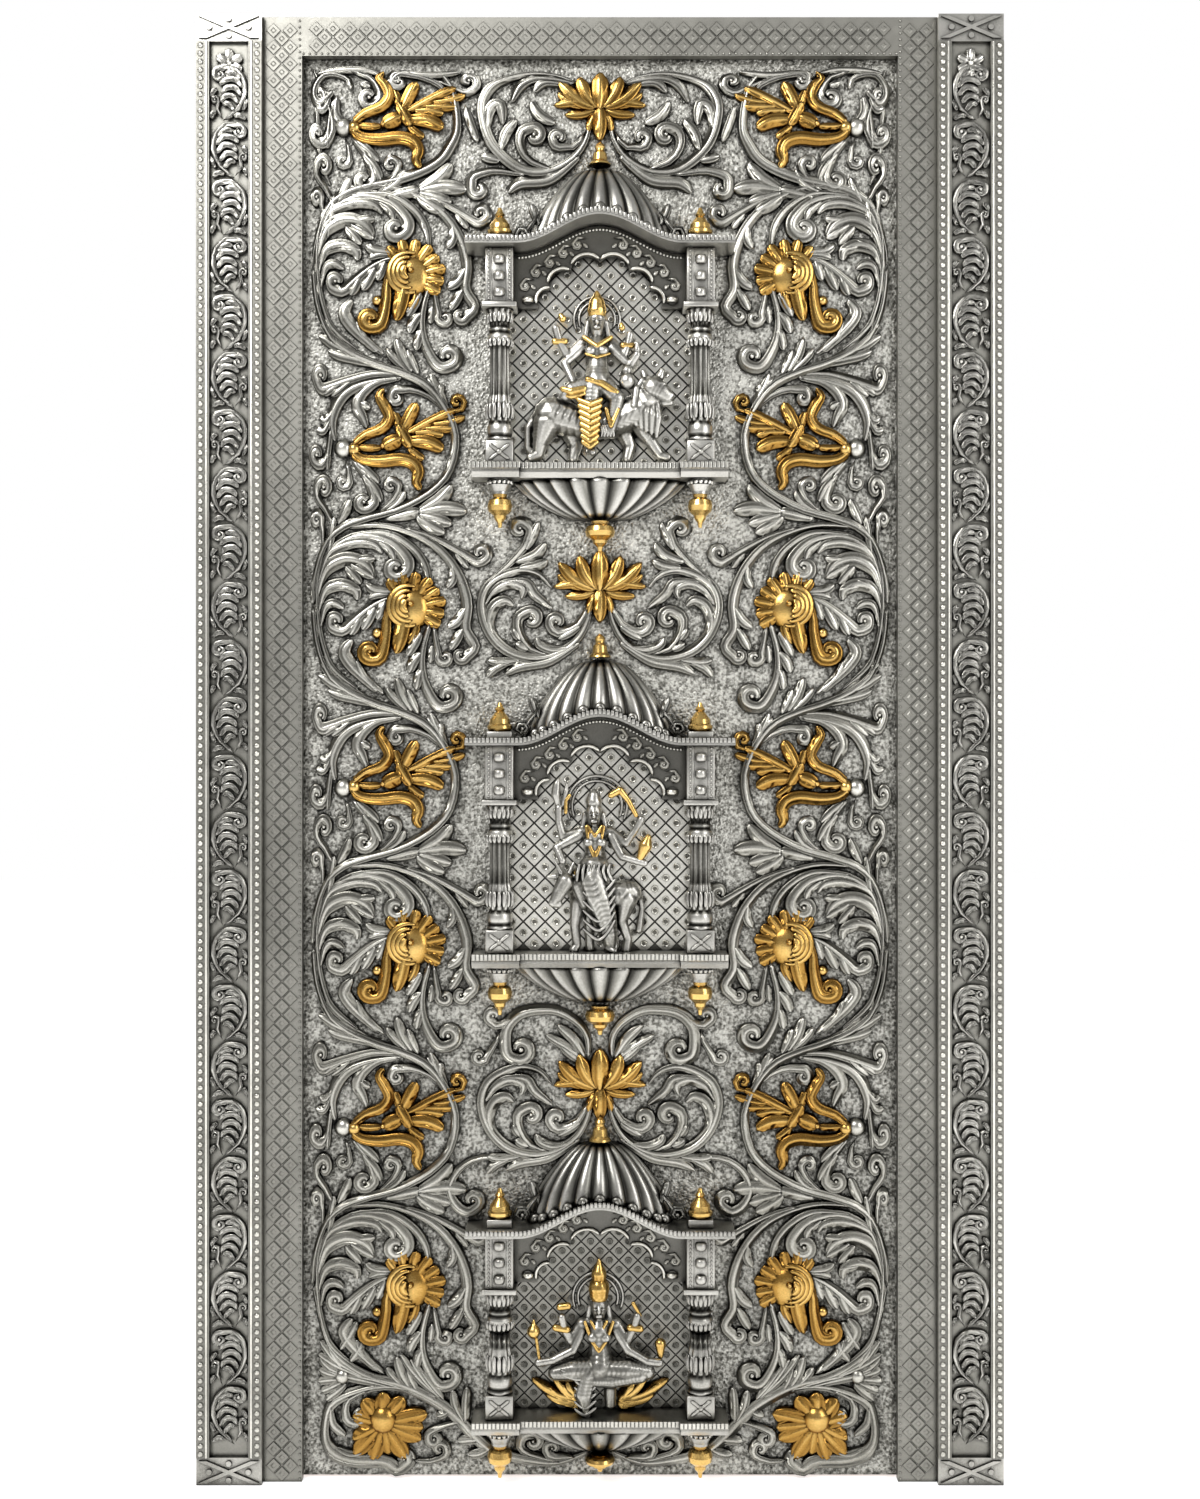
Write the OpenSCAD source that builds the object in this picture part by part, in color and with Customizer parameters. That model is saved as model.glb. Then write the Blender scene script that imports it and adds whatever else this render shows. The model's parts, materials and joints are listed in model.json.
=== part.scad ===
// Carved temple door: one leaf with three shrines, hung in a frame with two pilasters.
// Front faces -Y, +Z is up, the origin is under the middle of the whole piece.

/* [Overall] */
// Width across both pilasters
overall_w = 1171; // [1120:1:1300]
// Height of frame and pilasters
overall_h = 2134; // [2124:1:2200]

/* [Frame] */
// Visible width of a jamb and of the head, from the opening outwards
frame_face_w = 55; // [50:1:70]
// Width of a jamb hidden behind its pilaster
jamb_under = 45; // [30:1:60]
// Depth of jambs and head
frame_d = 62; // [58:1:80]
// Thickness of the lip that the closed leaf stops against
lip_d = 14; // [10:1:18]
// How far the lip stands over the leaf's edge
lip_w = 12; // [10:1:20]
// Thickness of the metal sheet on timber
sheet_t = 1.2; // [0.8:0.1:2]
// Radius of a wall anchor hole
anchor_r = 4.5; // [3:0.5:7]
// Height of the lowest anchor hole
anchor_low = 200; // [120:1:300]
// Distance between anchor holes
anchor_pitch = 580; // [400:1:590]

/* [Pilasters] */
// Width of a pilaster
pilaster_w = 95; // [90:1:110]
// How far a pilaster stands proud of the frame's timber face
pilaster_d = 16; // [14:1:40]
// Width of the raised border beside the sunken bed
border_w = 19; // [15:1:23]
// Depth of the sunken bed
bed_d = 9; // [7:1:12]
// Height of a block at a pilaster's end
block_h = 40; // [30:1:60]
// Length of one turn of the pilaster's scroll
wave_l = 166.8; // [150:0.2:190]

/* [Leaf] */
// Gap between the leaf and the frame at the sides and the top
leaf_gap = 4; // [3:0.5:5]
// Gap between the leaf's face and the back of the lip
stop_gap = 1; // [0.5:0.1:2]
// Gap under the leaf
floor_gap = 4; // [3:0.5:8]
// Relief of the main scrollwork
scroll_rise = 14; // [8:1:18]

/* [Side scrolls] */
// Length of one repeat of the side scroll
repeat_l = 492; // [488:1:496]
// Height of the lowest bud's centre
first_bud_z = 288; // [286:1:296]

/* [Shrines] */
// Heights of the shelves' top faces, from the lowest up
shelf_zs = [103, 773, 1478]; // [100:1:1500]
// Heights of the columns, from the lowest shrine up
column_hs = [188, 221, 232]; // [170:1:250]
// Heights of the bowls, from the lowest shrine up
bowl_hs = [38, 58, 60]; // [30:1:70]
// Height of a bracket block above a column
bracket_h = 79; // [65:1:90]
// Distance of a column's axis from the middle
column_x = 145; // [138:1:150]
// Distance of a column's axis from the ground sheet
column_out = 32; // [28:1:36]
// Half the length of the eave
eave_reach = 193; // [185:1:196]
// How far the eave stands out from the ground sheet
eave_d = 75; // [68:1:84]
// Thickness of the eave
eave_t = 8; // [6:1:10]
// How far the eave rises in the middle
eave_rise = 41; // [30:1:50]
// Half the length of the shelf
shelf_reach = 184; // [178:1:190]
// Thickness of the shelf
shelf_t = 20; // [16:1:24]
// How far the shelf stands out between its end blocks
shelf_d = 58; // [54:1:64]
// How far the shelf's end blocks stand past its middle
block_proud = 7; // [4:1:10]
// Height of the dome above the eave's crest
dome_h = 79; // [60:1:90]
// Half the width of the dome at its foot
dome_r = 101; // [85:1:110]
// Half the width of the bowl at its rim
bowl_r = 122; // [100:1:130]

/* [Gilt finials] */
// Height of the bell finial on a dome
bell_h = 34; // [28:1:50]
// Height of an urn on an eave's end
urn_h = 42; // [30:1:50]
// Height of the pendant bulbs under a shelf
bulb_h = 48; // [30:1:60]
// Heights of the drops under the bowls, from the lowest shrine up
drop_hs = [26, 42, 43]; // [20:1:50]

/* [Hinges] */
// Height of a hinge
hinge_h = 125; // [100:1:150]
// Width of a hinge plate
plate_w = 38; // [30:1:44]
// Thickness of a hinge plate
plate_t = 3; // [2:0.5:4]
// Radius of a knuckle
knuckle_r = 7; // [6.5:0.5:9]
// Radius of the hinge pin
pin_r = 4; // [3:0.5:5]
// Gap between the pin and its bore
pin_clearance = 0.05; // [0.02:0.01:0.09]
// Height of the lowest hinge's middle
hinge_low = 220; // [150:1:300]
// Number of hinges
hinge_count = 4; // [3:1:4]

/* [Hidden] */

teak = [0.36, 0.22, 0.12];
silver = [0.74, 0.74, 0.72];
pale_silver = [0.84, 0.84, 0.82];
gilt = [0.72, 0.55, 0.24];
steel = [0.5, 0.5, 0.52];

// Places in depth, from the foremost eave and the rearmost knuckle
knuckle_gap = 0.5;
pin_out = knuckle_r + knuckle_gap;
ground_in = lip_d + stop_gap;
front_reach = max(eave_d - ground_in, pilaster_d);
back_reach = frame_d + pin_out + knuckle_r;
face_y = (front_reach - back_reach) / 2;
back_y = face_y + frame_d;
ground_y = face_y + ground_in;
core_y = ground_y + sheet_t;

// Places across and up
opening_x = overall_w / 2 - pilaster_w - frame_face_w;
opening_z = overall_h - frame_face_w;
rebate_x = opening_x + lip_w;
jamb_x = opening_x + frame_face_w + jamb_under;
leaf_x = rebate_x - leaf_gap;
leaf_top = opening_z + lip_w - leaf_gap;

// One unit of the hand-drawn scroll grid, across and up
grid_x = (opening_x - eave_reach) / 166;
grid_z = repeat_l / 337;
carving_gap = 0.6;
cut_h = 60;
bud_count = 4;
shrine_ids = [0, 1, 2];

function eave_z(i) = shelf_zs[i] + column_hs[i] + bracket_h;
function eave_lift(x) = abs(x) >= eave_bend ? 0 : eave_rise * (1 + cos(180 * x / eave_bend)) / 2;
eave_bend = 118;
// The eave's underside out to a half length, lowered by a clearance
function eave_line(half, gap) = [for (x = concat([-half], [for (k = [-6 : 6]) eave_bend * k / 6], [half]))
    [x, eave_lift(x) - gap]];
panel_t = 2;
seat_gap = 0.3;

// Curves through a few points
function between(a, b, c, d, t) = 0.5 * (2 * b + (c - a) * t + (2 * a - 5 * b + 4 * c - d) * t * t
    + (3 * b - a - 3 * c + d) * t * t * t);
function at_knot(points, i) = points[max(0, min(len(points) - 1, i))];
function on_curve(points, s) = let (i = min(floor(s), len(points) - 2), t = s - i)
    between(at_knot(points, i - 1), at_knot(points, i), at_knot(points, i + 1), at_knot(points, i + 2), t);
function curve(points, steps) = [for (k = [0 : steps]) on_curve(points, k * (len(points) - 1) / steps)];
function swell(widths, t) = t < 0.5 ? widths[0] + (widths[1] - widths[0]) * sin(180 * t)
    : widths[2] + (widths[1] - widths[2]) * sin(180 * t);
function heading(line, k) = let (a = line[max(0, k - 1)], b = line[min(len(line) - 1, k + 1)], d = b - a) d / norm(d);
function beside(line, k, reach) = let (d = heading(line, k)) line[k] + reach * [-d[1], d[0]];

// A leaf or stem with a raised ridge, drawn flat with its relief along +Z
module blade(points, widths, rise, steps) {
    line = curve(points, steps);
    widest = max(widths);
    spots = [for (k = [0 : steps]) let (w = swell(widths, k / steps), top = rise * (0.45 + 0.55 * w / widest))
        each [[each beside(line, k, w), 0], [each line[k], top], [each beside(line, k, -w), 0]]];
    sides = [for (k = [0 : steps - 1], e = [0 : 2]) let (a = 3 * k + e, b = 3 * k + (e + 1) % 3)
        each [[b + 3, b, a], [a + 3, b + 3, a]]];
    last = 3 * steps;
    polyhedron(spots, concat(sides, [[0, 1, 2], [last + 2, last + 1, last]]));
}

// The flat outline that a blade covers, grown by a clearance
module blade_outline(points, widths, steps, grow) {
    line = curve(points, steps);
    left = [for (k = [0 : steps]) beside(line, k, swell(widths, k / steps) + grow)];
    right = [for (k = [steps : -1 : 0]) beside(line, k, -swell(widths, k / steps) - grow)];
    polygon(concat(left, right));
}

// The round eye at the end of a rolled leaf
module eye(place, r, rise) {
    translate([place[0], place[1], 0]) hull() {
        cylinder(r = r, h = rise * 0.55, $fn = 5);
        cylinder(r = r * 0.5, h = rise, $fn = 4);
    }
}

// A drawn row is [points, half widths]; short rows get one more step than they have stretches
function row_steps(row) = max(3, len(row[0]) - 1);
module blades(rows, rise) {
    for (row = rows) blade(row[0], row[1], rise, row_steps(row));
}

module eyes(rows, rise) {
    for (row = rows) eye([row[0], row[1]], row[2], rise);
}

// Carries a flat drawing onto the leaf's ground, relief towards the front
module on_ground() {
    translate([0, ground_y, 0]) rotate([90, 0, 0]) children();
}

module mirrored() {
    children();
    mirror([1, 0, 0]) children();
}

// Side scroll, one repeat: units from the leaf's visible edge and from the bud's centre
vine = [[[100, 234], [130, 216], [149, 194], [155, 168], [151, 144], [134, 121], [104, 106], [70, 93], [41, 77],
    [18, 46], [9, 9], [14, -22], [32, -57], [63, -85], [98, -102]], [5, 5, 5]];
side_rows = [
    [[[42, 78], [80, 84], [122, 74], [148, 47], [160, 10], [156, -34]], [3, 5, 3]],
    [[[50, 74], [85, 74], [106, 59], [109, 38]], [4, 6, 4]],
    [[[12, 22], [24, 42], [44, 50], [62, 44], [70, 30]], [3, 7, 2]],
    [[[77, -1], [65, -6], [48, -20], [32, -22]], [2, 6, 4]],
    [[[134, -32], [124, -50], [128, -72], [146, -92]], [3, 6, 3]],
    [[[147, 197], [130, 214], [112, 221], [96, 215]], [3, 5, 3]],
    [[[104, 234], [62, 236], [36, 228], [16, 228]], [3, 6, 4]],
    [[[100, 230], [60, 220], [38, 204], [34, 175]], [4, 5, 4]],
    [[[98, 92], [135, 96], [164, 97]], [3, 10, 1]],
    [[[100, 82], [140, 69], [174, 55]], [3, 7, 1]]];
side_eyes = [[98, 42, 8], [37, -14, 8], [153, -88, 8], [95, 211, 6], [15, 232, 7]];

// Gilt lily of the repeat
lily_heel = [43, 161];
heel_r = 9;
lily_rows = [
    [[[48, 162], [72, 175], [88, 190], [80, 206], [84, 218]], [5, 7, 3]],
    [[[48, 158], [80, 149], [110, 147], [116, 130], [121, 119]], [5, 7, 3]],
    [[[97, 182], [109, 163]], [8, 8, 3]],
    [[[108, 174], [126, 186], [140, 189]], [4, 7, 2]],
    [[[112, 166], [138, 160]], [7, 7, 1]]];
// Gilt bud of the repeat
bud_at = [110, 1];
bud_r = 21;
crown_angles = [35, 55, 75, 95, 115];
bud_tail = [[[98, 8], [88, -4], [86, -24], [83, -40], [72, -48]], [4, 6, 4]];

// Base run: units from the leaf's visible edge and from the lowest bud's centre
base_rows = [
    [[[106, -107], [132, -118], [158, -138], [180, -160], [204, -176], [240, -186], [274, -186], [294, -178]],
        [4, 5, 4]],
    [[[140, -116], [108, -105], [78, -103], [48, -112], [28, -128], [20, -150], [30, -174], [55, -186], [96, -186]],
        [4, 7, 4]],
    [[[72, -106], [52, -116], [42, -132]], [3, 6, 3]],
    [[[262, -184], [240, -180], [226, -168]], [3, 5, 3]]];
base_eyes = [[100, -183, 7], [47, -136, 7], [232, -164, 6]];
sunflower_at = [83, -141];
sunflower_room = 24;

// Centre scroll, left half: units from the middle line and from the lotus
centre_rows = [
    [[[-16, -15], [-18, -36], [-38, -62], [-70, -70], [-98, -58], [-115, -32], [-116, -4], [-100, 14], [-76, 20],
        [-56, 11]], [4, 6, 3]],
    [[[-52, -64], [-74, -54], [-81, -36], [-72, -24]], [3, 6, 3]],
    [[[-113, -18], [-104, 0], [-90, 6], [-78, -2]], [2, 6, 3]],
    [[[-18, -24], [-26, -35], [-40, -36]], [3, 6, 3]],
    [[[-24, -54], [-54, -70], [-82, -77], [-95, -84]], [3, 6, 2]]];
centre_eyes = [[-69, -28, 8], [-44, -32, 6]];
sprout_rows = [
    [[[-114, 6], [-92, 24], [-76, 42], [-76, 58]], [4, 6, 3]],
    [[[-82, 26], [-64, 36], [-55, 48]], [3, 6, 1]]];
sprout_eyes = [[-80, 60, 7]];
crest_rows = [
    [[[-12, 44], [-22, 62], [-40, 74], [-66, 75], [-88, 62], [-92, 44]], [3, 6, 4]],
    [[[-18, 44], [-36, 54], [-48, 54]], [3, 7, 2]]];
crest_eyes = [[-84, 40, 10]];

// Lotus, right half and middle
lotus_rows = [
    [[[0, 4], [0, 20], [0, 38]], [4, 9, 1]],
    [[[6, 2], [14, 18], [20, 33]], [4, 8, 1]],
    [[[8, 0], [26, 14], [40, 27]], [4, 7, 1]],
    [[[8, -3], [28, -2], [46, 3]], [3, 7, 1]],
    [[[0, -2], [0, -16], [0, -32]], [6, 9, 1]]];

module side_grid() {
    on_ground() translate([-opening_x, 0, 0]) scale([grid_x, grid_z, 1]) children();
}

function bud_v(k) = (first_bud_z + k * repeat_l) / grid_z;

// Room kept free for lilies, buds and eaves in the side fields; the head's edge trims their tops
module side_cuts() {
    for (row = lily_rows) linear_extrude(cut_h) blade_outline(row[0], row[1], row_steps(row), carving_gap);
    translate([lily_heel[0], lily_heel[1], 0]) cylinder(r = heel_r + carving_gap, h = cut_h, $fn = 8);
    translate([bud_at[0], bud_at[1], 0]) cylinder(r = bud_r + 8, h = cut_h, $fn = 12);
    linear_extrude(cut_h) blade_outline(bud_tail[0], bud_tail[1], row_steps(bud_tail), carving_gap);
}

module eave_cuts() {
    for (i = shrine_ids) translate([-eave_reach - 1, eave_z(i) - 1, -1])
        cube([2 * eave_reach + 2, eave_t + 2, cut_h]);
}

module side_scroll() {
    difference() {
        side_grid() for (k = [0 : bud_count - 1]) translate([0, bud_v(k), 0]) difference() {
            union() {
                blades([vine], scroll_rise);
                blades(side_rows, scroll_rise);
                eyes(side_eyes, scroll_rise);
            }
            translate([0, 0, -1]) side_cuts();
        }
        on_ground() eave_cuts();
        on_ground() translate([-jamb_x, opening_z - sheet_t - carving_gap, -1]) cube([jamb_x, frame_face_w, cut_h]);
    }
}

module side_scroll_left() { color(silver) side_scroll(); }
module side_scroll_right() { color(silver) mirror([1, 0, 0]) side_scroll(); }

module base_scroll() {
    color(silver) mirrored() side_grid() translate([0, bud_v(0), 0]) difference() {
        union() {
            blades(base_rows, scroll_rise);
            eyes(base_eyes, scroll_rise);
        }
        translate([sunflower_at[0], sunflower_at[1], -1]) cylinder(r = sunflower_room, h = cut_h, $fn = 12);
        for (row = concat([vine], side_rows)) translate([0, 0, -1])
            linear_extrude(cut_h) blade_outline(row[0], row[1], row_steps(row), carving_gap);
        for (eye = side_eyes) translate([eye[0], eye[1], -1]) cylinder(r = eye[2] + carving_gap, h = cut_h, $fn = 8);
    }
}

function lotus_z(i) = eave_z(i) + eave_t + eave_rise + dome_h + bell_h + lotus_lift;
lotus_lift = 49;

module centre_grid(i) {
    on_ground() translate([0, lotus_z(i), 0]) scale([grid_x, grid_z, 1]) children();
}

module centre_scroll(i, rows, eye_rows) {
    difference() {
        centre_grid(i) difference() {
            mirrored() {
                blades(concat(centre_rows, rows), scroll_rise);
                eyes(concat(centre_eyes, eye_rows), scroll_rise);
            }
            translate([0, 0, -1]) mirrored() for (row = lotus_rows)
                linear_extrude(cut_h) blade_outline(row[0], row[1], row_steps(row), carving_gap);
        }
        on_ground() shrine_cuts();
    }
}

// Room kept free for the shrines' domes, bells, urns and drops in the centre fields
module shrine_cuts() {
    for (i = shrine_ids) {
        translate([-bell_r - 1, eave_z(i), -1]) cube([2 * bell_r + 2, eave_t + eave_rise + dome_h + bell_h, cut_h]);
        translate([-dome_r, eave_z(i), -1]) cube([2 * dome_r, eave_t + eave_rise + dome_h / 3, cut_h]);
        mirrored() translate([column_x - urn_r - 1, eave_z(i), -1])
            cube([2 * urn_r + 2, eave_t + plinth_h + urn_h + 1, cut_h]);
        mirrored() translate([column_x - bulb_r - 1, shelf_zs[i] - shelf_t - collar_h - bulb_h - 1, -1])
            cube([2 * bulb_r + 2, collar_h + bulb_h + 2, cut_h]);
    }
}

module centre_scroll_lower() { color(silver) centre_scroll(0, crest_rows, crest_eyes); }
module centre_scroll_middle() { color(silver) centre_scroll(1, sprout_rows, sprout_eyes); }
module centre_scroll_upper() { color(silver) centre_scroll(2, [], []); }

// Petals cut from thick plate in two tiers: the full outline, and a narrower crest on it
tier_share = 0.6;
crest_in = 2;
module petals(rows, rise) {
    linear_extrude(rise * tier_share) petal_outlines(rows, 0);
    linear_extrude(rise) petal_outlines(rows, -crest_in);
}

module petal_outlines(rows, grow) {
    offset(delta = 0.01) for (row = rows) scale([grid_x, grid_z])
        blade_outline(row[0], [for (w = row[1]) max(w + grow, 0.6)], row_steps(row), 0);
}

module gilt_lilies() {
    color(gilt) mirrored() difference() {
        on_ground() for (k = [0 : bud_count - 1]) translate([-opening_x, first_bud_z + k * repeat_l, 0]) {
            petals(lily_rows, scroll_rise + 2);
            translate([lily_heel[0] * grid_x, lily_heel[1] * grid_z, 0])
                cylinder(r1 = heel_r * grid_x, r2 = heel_r * grid_x / 2, h = scroll_rise);
        }
        on_ground() translate([-jamb_x, opening_z - sheet_t - carving_gap, -1]) cube([jamb_x, frame_face_w, cut_h]);
    }
}

// A round bud: a domed boss with a spiral's rings, a crown of lobes and a curling tail
crown_r = 6;
crown_h = scroll_rise * 0.8;
boss_h = scroll_rise + 4;
boss_curve = 38;
module bud() {
    bud_mm = bud_r * min(grid_x, grid_z);
    rotate_extrude() difference() {
        intersection() {
            translate([0, boss_h - boss_curve]) circle(r = boss_curve);
            square([bud_mm, boss_h]);
        }
        for (share = [0.3, 0.6]) translate([bud_mm * share, boss_h]) circle(r = 3);
    }
}

module gilt_buds() {
    color(gilt) mirrored() on_ground() for (k = [0 : bud_count - 1])
        translate([-opening_x, first_bud_z + k * repeat_l, 0]) {
            translate([bud_at[0] * grid_x, bud_at[1] * grid_z, 0]) {
                bud();
                for (a = crown_angles) rotate(a) translate([(bud_r + 3) * min(grid_x, grid_z), 0, 0])
                    cylinder(r = crown_r, h = crown_h);
            }
            petals([bud_tail], crown_h);
        }
}

// A sunflower: a low domed disc and a ring of petals
sunflower_r = 15;
petal_count = 9;
module gilt_sunflowers() {
    color(gilt) mirrored() on_ground()
        translate([-opening_x + sunflower_at[0] * grid_x, first_bud_z + sunflower_at[1] * grid_z, 0]) {
            cylinder(r = sunflower_r - 3, h = scroll_rise);
            linear_extrude(scroll_rise * tier_share) offset(delta = 0.01) {
                circle(r = sunflower_r, $fn = 36);
                for (k = [0 : petal_count - 1]) rotate(360 * k / petal_count)
                    blade_outline([[sunflower_r - 2, 0], [sunflower_r + 18, 0]], [3, 7, 1], 4, 0);
            }
        }
}

function flipped(rows) = [for (row = rows) [[for (p = row[0]) [-p[0], p[1]]], row[1]]];
module gilt_lotuses() {
    color(gilt) for (i = shrine_ids) on_ground() translate([0, lotus_z(i), 0])
        linear_extrude(scroll_rise + 3) petal_outlines(concat(lotus_rows, flipped(lotus_rows)), 0);
}

// Frame
module jamb_core() {
    difference() {
        linear_extrude(overall_h) polygon([[opening_x, face_y], [jamb_x, face_y], [jamb_x, back_y],
            [rebate_x, back_y], [rebate_x, face_y + lip_d], [opening_x, face_y + lip_d]]);
        for (k = [0 : 3]) translate([rebate_x - 1, anchor_y, anchor_low + k * anchor_pitch]) rotate([0, 90, 0])
            cylinder(r = anchor_r, h = jamb_x - rebate_x + 2);
    }
}
anchor_y = (face_y + lip_d + back_y) / 2;

module jamb_core_left() { color(teak) mirror([1, 0, 0]) jamb_core(); }
module jamb_core_right() { color(teak) jamb_core(); }

module head_core() {
    color(teak) {
        translate([sheet_t - opening_x, face_y, opening_z]) cube([2 * (opening_x - sheet_t), lip_d, frame_face_w]);
        translate([-rebate_x, face_y + lip_d, opening_z + lip_w])
            cube([2 * rebate_x, frame_d - lip_d, frame_face_w - lip_w]);
    }
}

// Folded sheet: a face strip with a return round the lip's edge
module jamb_sheet() {
    linear_extrude(overall_h) polygon([[opening_x - sheet_t, face_y - sheet_t],
        [opening_x + frame_face_w, face_y - sheet_t], [opening_x + frame_face_w, face_y], [opening_x, face_y],
        [opening_x, face_y + lip_d], [opening_x - sheet_t, face_y + lip_d]]);
}

module jamb_sheet_left() { color(silver) mirror([1, 0, 0]) jamb_sheet(); }
module jamb_sheet_right() { color(silver) jamb_sheet(); }

module head_sheet() {
    span = 2 * (opening_x - sheet_t);
    color(silver) translate([-span / 2, 0, 0]) rotate([90, 0, 90]) linear_extrude(span)
        polygon([[face_y - sheet_t, opening_z - sheet_t], [face_y - sheet_t, overall_h], [face_y, overall_h],
            [face_y, opening_z], [face_y + lip_d, opening_z], [face_y + lip_d, opening_z - sheet_t]]);
}

// Pilasters, drawn on the right
pilaster_x = overall_w / 2 - pilaster_w;
pilaster_front = face_y - pilaster_d;
bed_w = pilaster_w - 2 * border_w;
shaft_h = overall_h - 2 * block_h;

function pilaster_outline(grow) = let (in = sheet_t - grow, x0 = pilaster_x + in, x1 = pilaster_x + pilaster_w - in,
    y0 = pilaster_front + in, b0 = pilaster_x + border_w - in, b1 = pilaster_x + border_w + bed_w + in)
    [[x0, face_y], [x0, y0], [b0, y0], [b0, y0 + bed_d], [b1, y0 + bed_d], [b1, y0], [x1, y0], [x1, face_y]];

module pilaster_core() {
    translate([0, 0, block_h]) linear_extrude(shaft_h) polygon(pilaster_outline(0));
}

module pilaster_casing() {
    translate([0, 0, block_h]) linear_extrude(shaft_h) difference() {
        polygon(pilaster_outline(sheet_t));
        polygon(pilaster_outline(0));
    }
}

module pilaster_core_left() { color(teak) mirror([1, 0, 0]) pilaster_core(); }
module pilaster_core_right() { color(teak) pilaster_core(); }
module pilaster_casing_left() { color(pale_silver) mirror([1, 0, 0]) pilaster_casing(); }
module pilaster_casing_right() { color(pale_silver) pilaster_casing(); }

// Wave of C-curls with leaves in the pilaster's bed
wave_side_gap = 3;
wave_count = floor(shaft_h / wave_l * 2) - 1;
stem_w = 5;
curl_r = 9;
wave_rise = 8;
module half_wave() {
    half = wave_l / 2;
    reach = bed_w / 2 - wave_side_gap - stem_w / 2;
    stem = [for (k = [0 : 8]) [-reach * cos(22.5 * k), half * k / 8]];
    blade_outline(stem, [stem_w / 2, stem_w / 2 + 1, stem_w / 2], 8, 0);
    translate([reach * 0.35, half * 0.2]) difference() {
        circle(r = curl_r, $fn = 14);
        translate([2, 0]) circle(r = curl_r / 2.2, $fn = 10);
    }
    for (lean = [[0.9, 0.42], [0.55, 0.52], [-0.6, 0.72], [-0.15, 0.84]])
        blade_outline([[0, half * 0.5], [reach * lean[0], half * lean[1]]], [2, 4.5, 1], 3, 0);
}

module pilaster_scroll() {
    bed_y = pilaster_front + bed_d;
    start = (overall_h - wave_count * wave_l / 2) / 2;
    translate([pilaster_x + pilaster_w / 2, bed_y, start]) rotate([90, 0, 0]) linear_extrude(wave_rise)
        offset(delta = 0.4) for (k = [0 : wave_count - 1])
            translate([0, k * wave_l / 2]) mirror([k % 2, 0, 0]) half_wave();
}

module pilaster_scroll_left() { color(silver) mirror([1, 0, 0]) pilaster_scroll(); }
module pilaster_scroll_right() { color(silver) pilaster_scroll(); }

// End blocks with a crossed ribbon and a boss in each quarter
block_over = 1;
ribbon_w = 5;
ribbon_rise = 3;
boss_r = 4;
module end_block() {
    depth = pilaster_d + block_over;
    w = pilaster_w;
    translate([pilaster_x, face_y - depth + ribbon_rise, 0]) cube([w, depth - ribbon_rise, block_h]);
    translate([pilaster_x + w / 2, face_y - depth + ribbon_rise, block_h / 2]) rotate([90, 0, 0]) {
        linear_extrude(ribbon_rise) intersection() {
            square([w - 8, block_h - 8], center = true);
            for (side = [-1, 1]) rotate(side * atan2(block_h, w)) square([w * 1.2, ribbon_w], center = true);
        }
        for (a = [0 : 90 : 270]) translate([cos(a) * w * 0.3, sin(a) * (block_h / 2 - boss_r - 4), 0])
            cylinder(r = boss_r, h = ribbon_rise);
    }
}

module pilaster_blocks() {
    color(pale_silver) mirrored() for (z = [0, overall_h - block_h]) translate([0, 0, z]) end_block();
}

// Hinges at the back of the left side: axis in the gap between jamb and leaf
hinge_x = -(rebate_x - leaf_gap / 2);
hinge_y = back_y + pin_out;
hinge_pitch = (overall_h - 2 * hinge_low - frame_face_w) / (hinge_count - 1);
knuckle_count = 5;
knuckle_play = 0.4;
knuckle_h = hinge_h / knuckle_count;
hole_r = 2.2;
hole_inset = 11;

module hinge_half(first) {
    difference() {
        union() {
            translate([-plate_w, -pin_out, 0]) cube([plate_w - knuckle_r - knuckle_gap, plate_t, hinge_h]);
            for (k = [first : 2 : knuckle_count - 1]) {
                z = k * knuckle_h + knuckle_play / 2;
                translate([0, 0, z]) cylinder(r = knuckle_r, h = knuckle_h - knuckle_play);
                translate([-knuckle_r - 2, -pin_out, z]) cube([knuckle_r + 1, plate_t, knuckle_h - knuckle_play]);
            }
        }
        translate([0, 0, -1]) cylinder(r = pin_r + pin_clearance, h = hinge_h + 2);
        for (z = [hole_inset, hinge_h - hole_inset], x = [plate_w - 8, plate_w / 2 + 4])
            translate([-x, -pin_out - 1, z]) rotate([-90, 0, 0]) cylinder(r = hole_r, h = plate_t + 2);
    }
}

module at_hinges() {
    for (k = [0 : hinge_count - 1]) translate([hinge_x, hinge_y, hinge_low + k * hinge_pitch - hinge_h / 2])
        children();
}

module hinge_plates_frame() { color(steel) at_hinges() hinge_half(0); }
module hinge_plates_leaf() { color(steel) at_hinges() mirror([1, 0, 0]) hinge_half(1); }

pin_head_r = 6;
pin_head_h = 4;
module hinge_pins() {
    color(steel) at_hinges() {
        translate([0, 0, knuckle_play]) cylinder(r = pin_r, h = hinge_h - 3 * knuckle_play / 2);
        translate([0, 0, hinge_h - knuckle_play / 2]) cylinder(r = pin_head_r, h = pin_head_h);
    }
}

// Leaf
module leaf_core() {
    color(teak) translate([-leaf_x, core_y, floor_gap]) cube([2 * leaf_x, back_y - core_y, leaf_top - floor_gap]);
}

module ground_sheet() {
    color(pale_silver) translate([-leaf_x, ground_y, floor_gap]) cube([2 * leaf_x, sheet_t, leaf_top - floor_gap]);
}

// Shrines
bracket_w = 40;
plinth_w = 36;
plinth_h = 12;
abacus_w = 50;
collar_h = 22;
end_block_w = 68;
panel_x = column_x - bracket_w / 2 - seat_gap;

module niche_panel(i) {
    foot = shelf_zs[i] + seat_gap - eave_z(i);
    color(silver) on_ground() translate([0, eave_z(i), 0]) linear_extrude(panel_t)
        polygon(concat(eave_line(panel_x, seat_gap), [[panel_x, foot], [-panel_x, foot]]));
}

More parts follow.
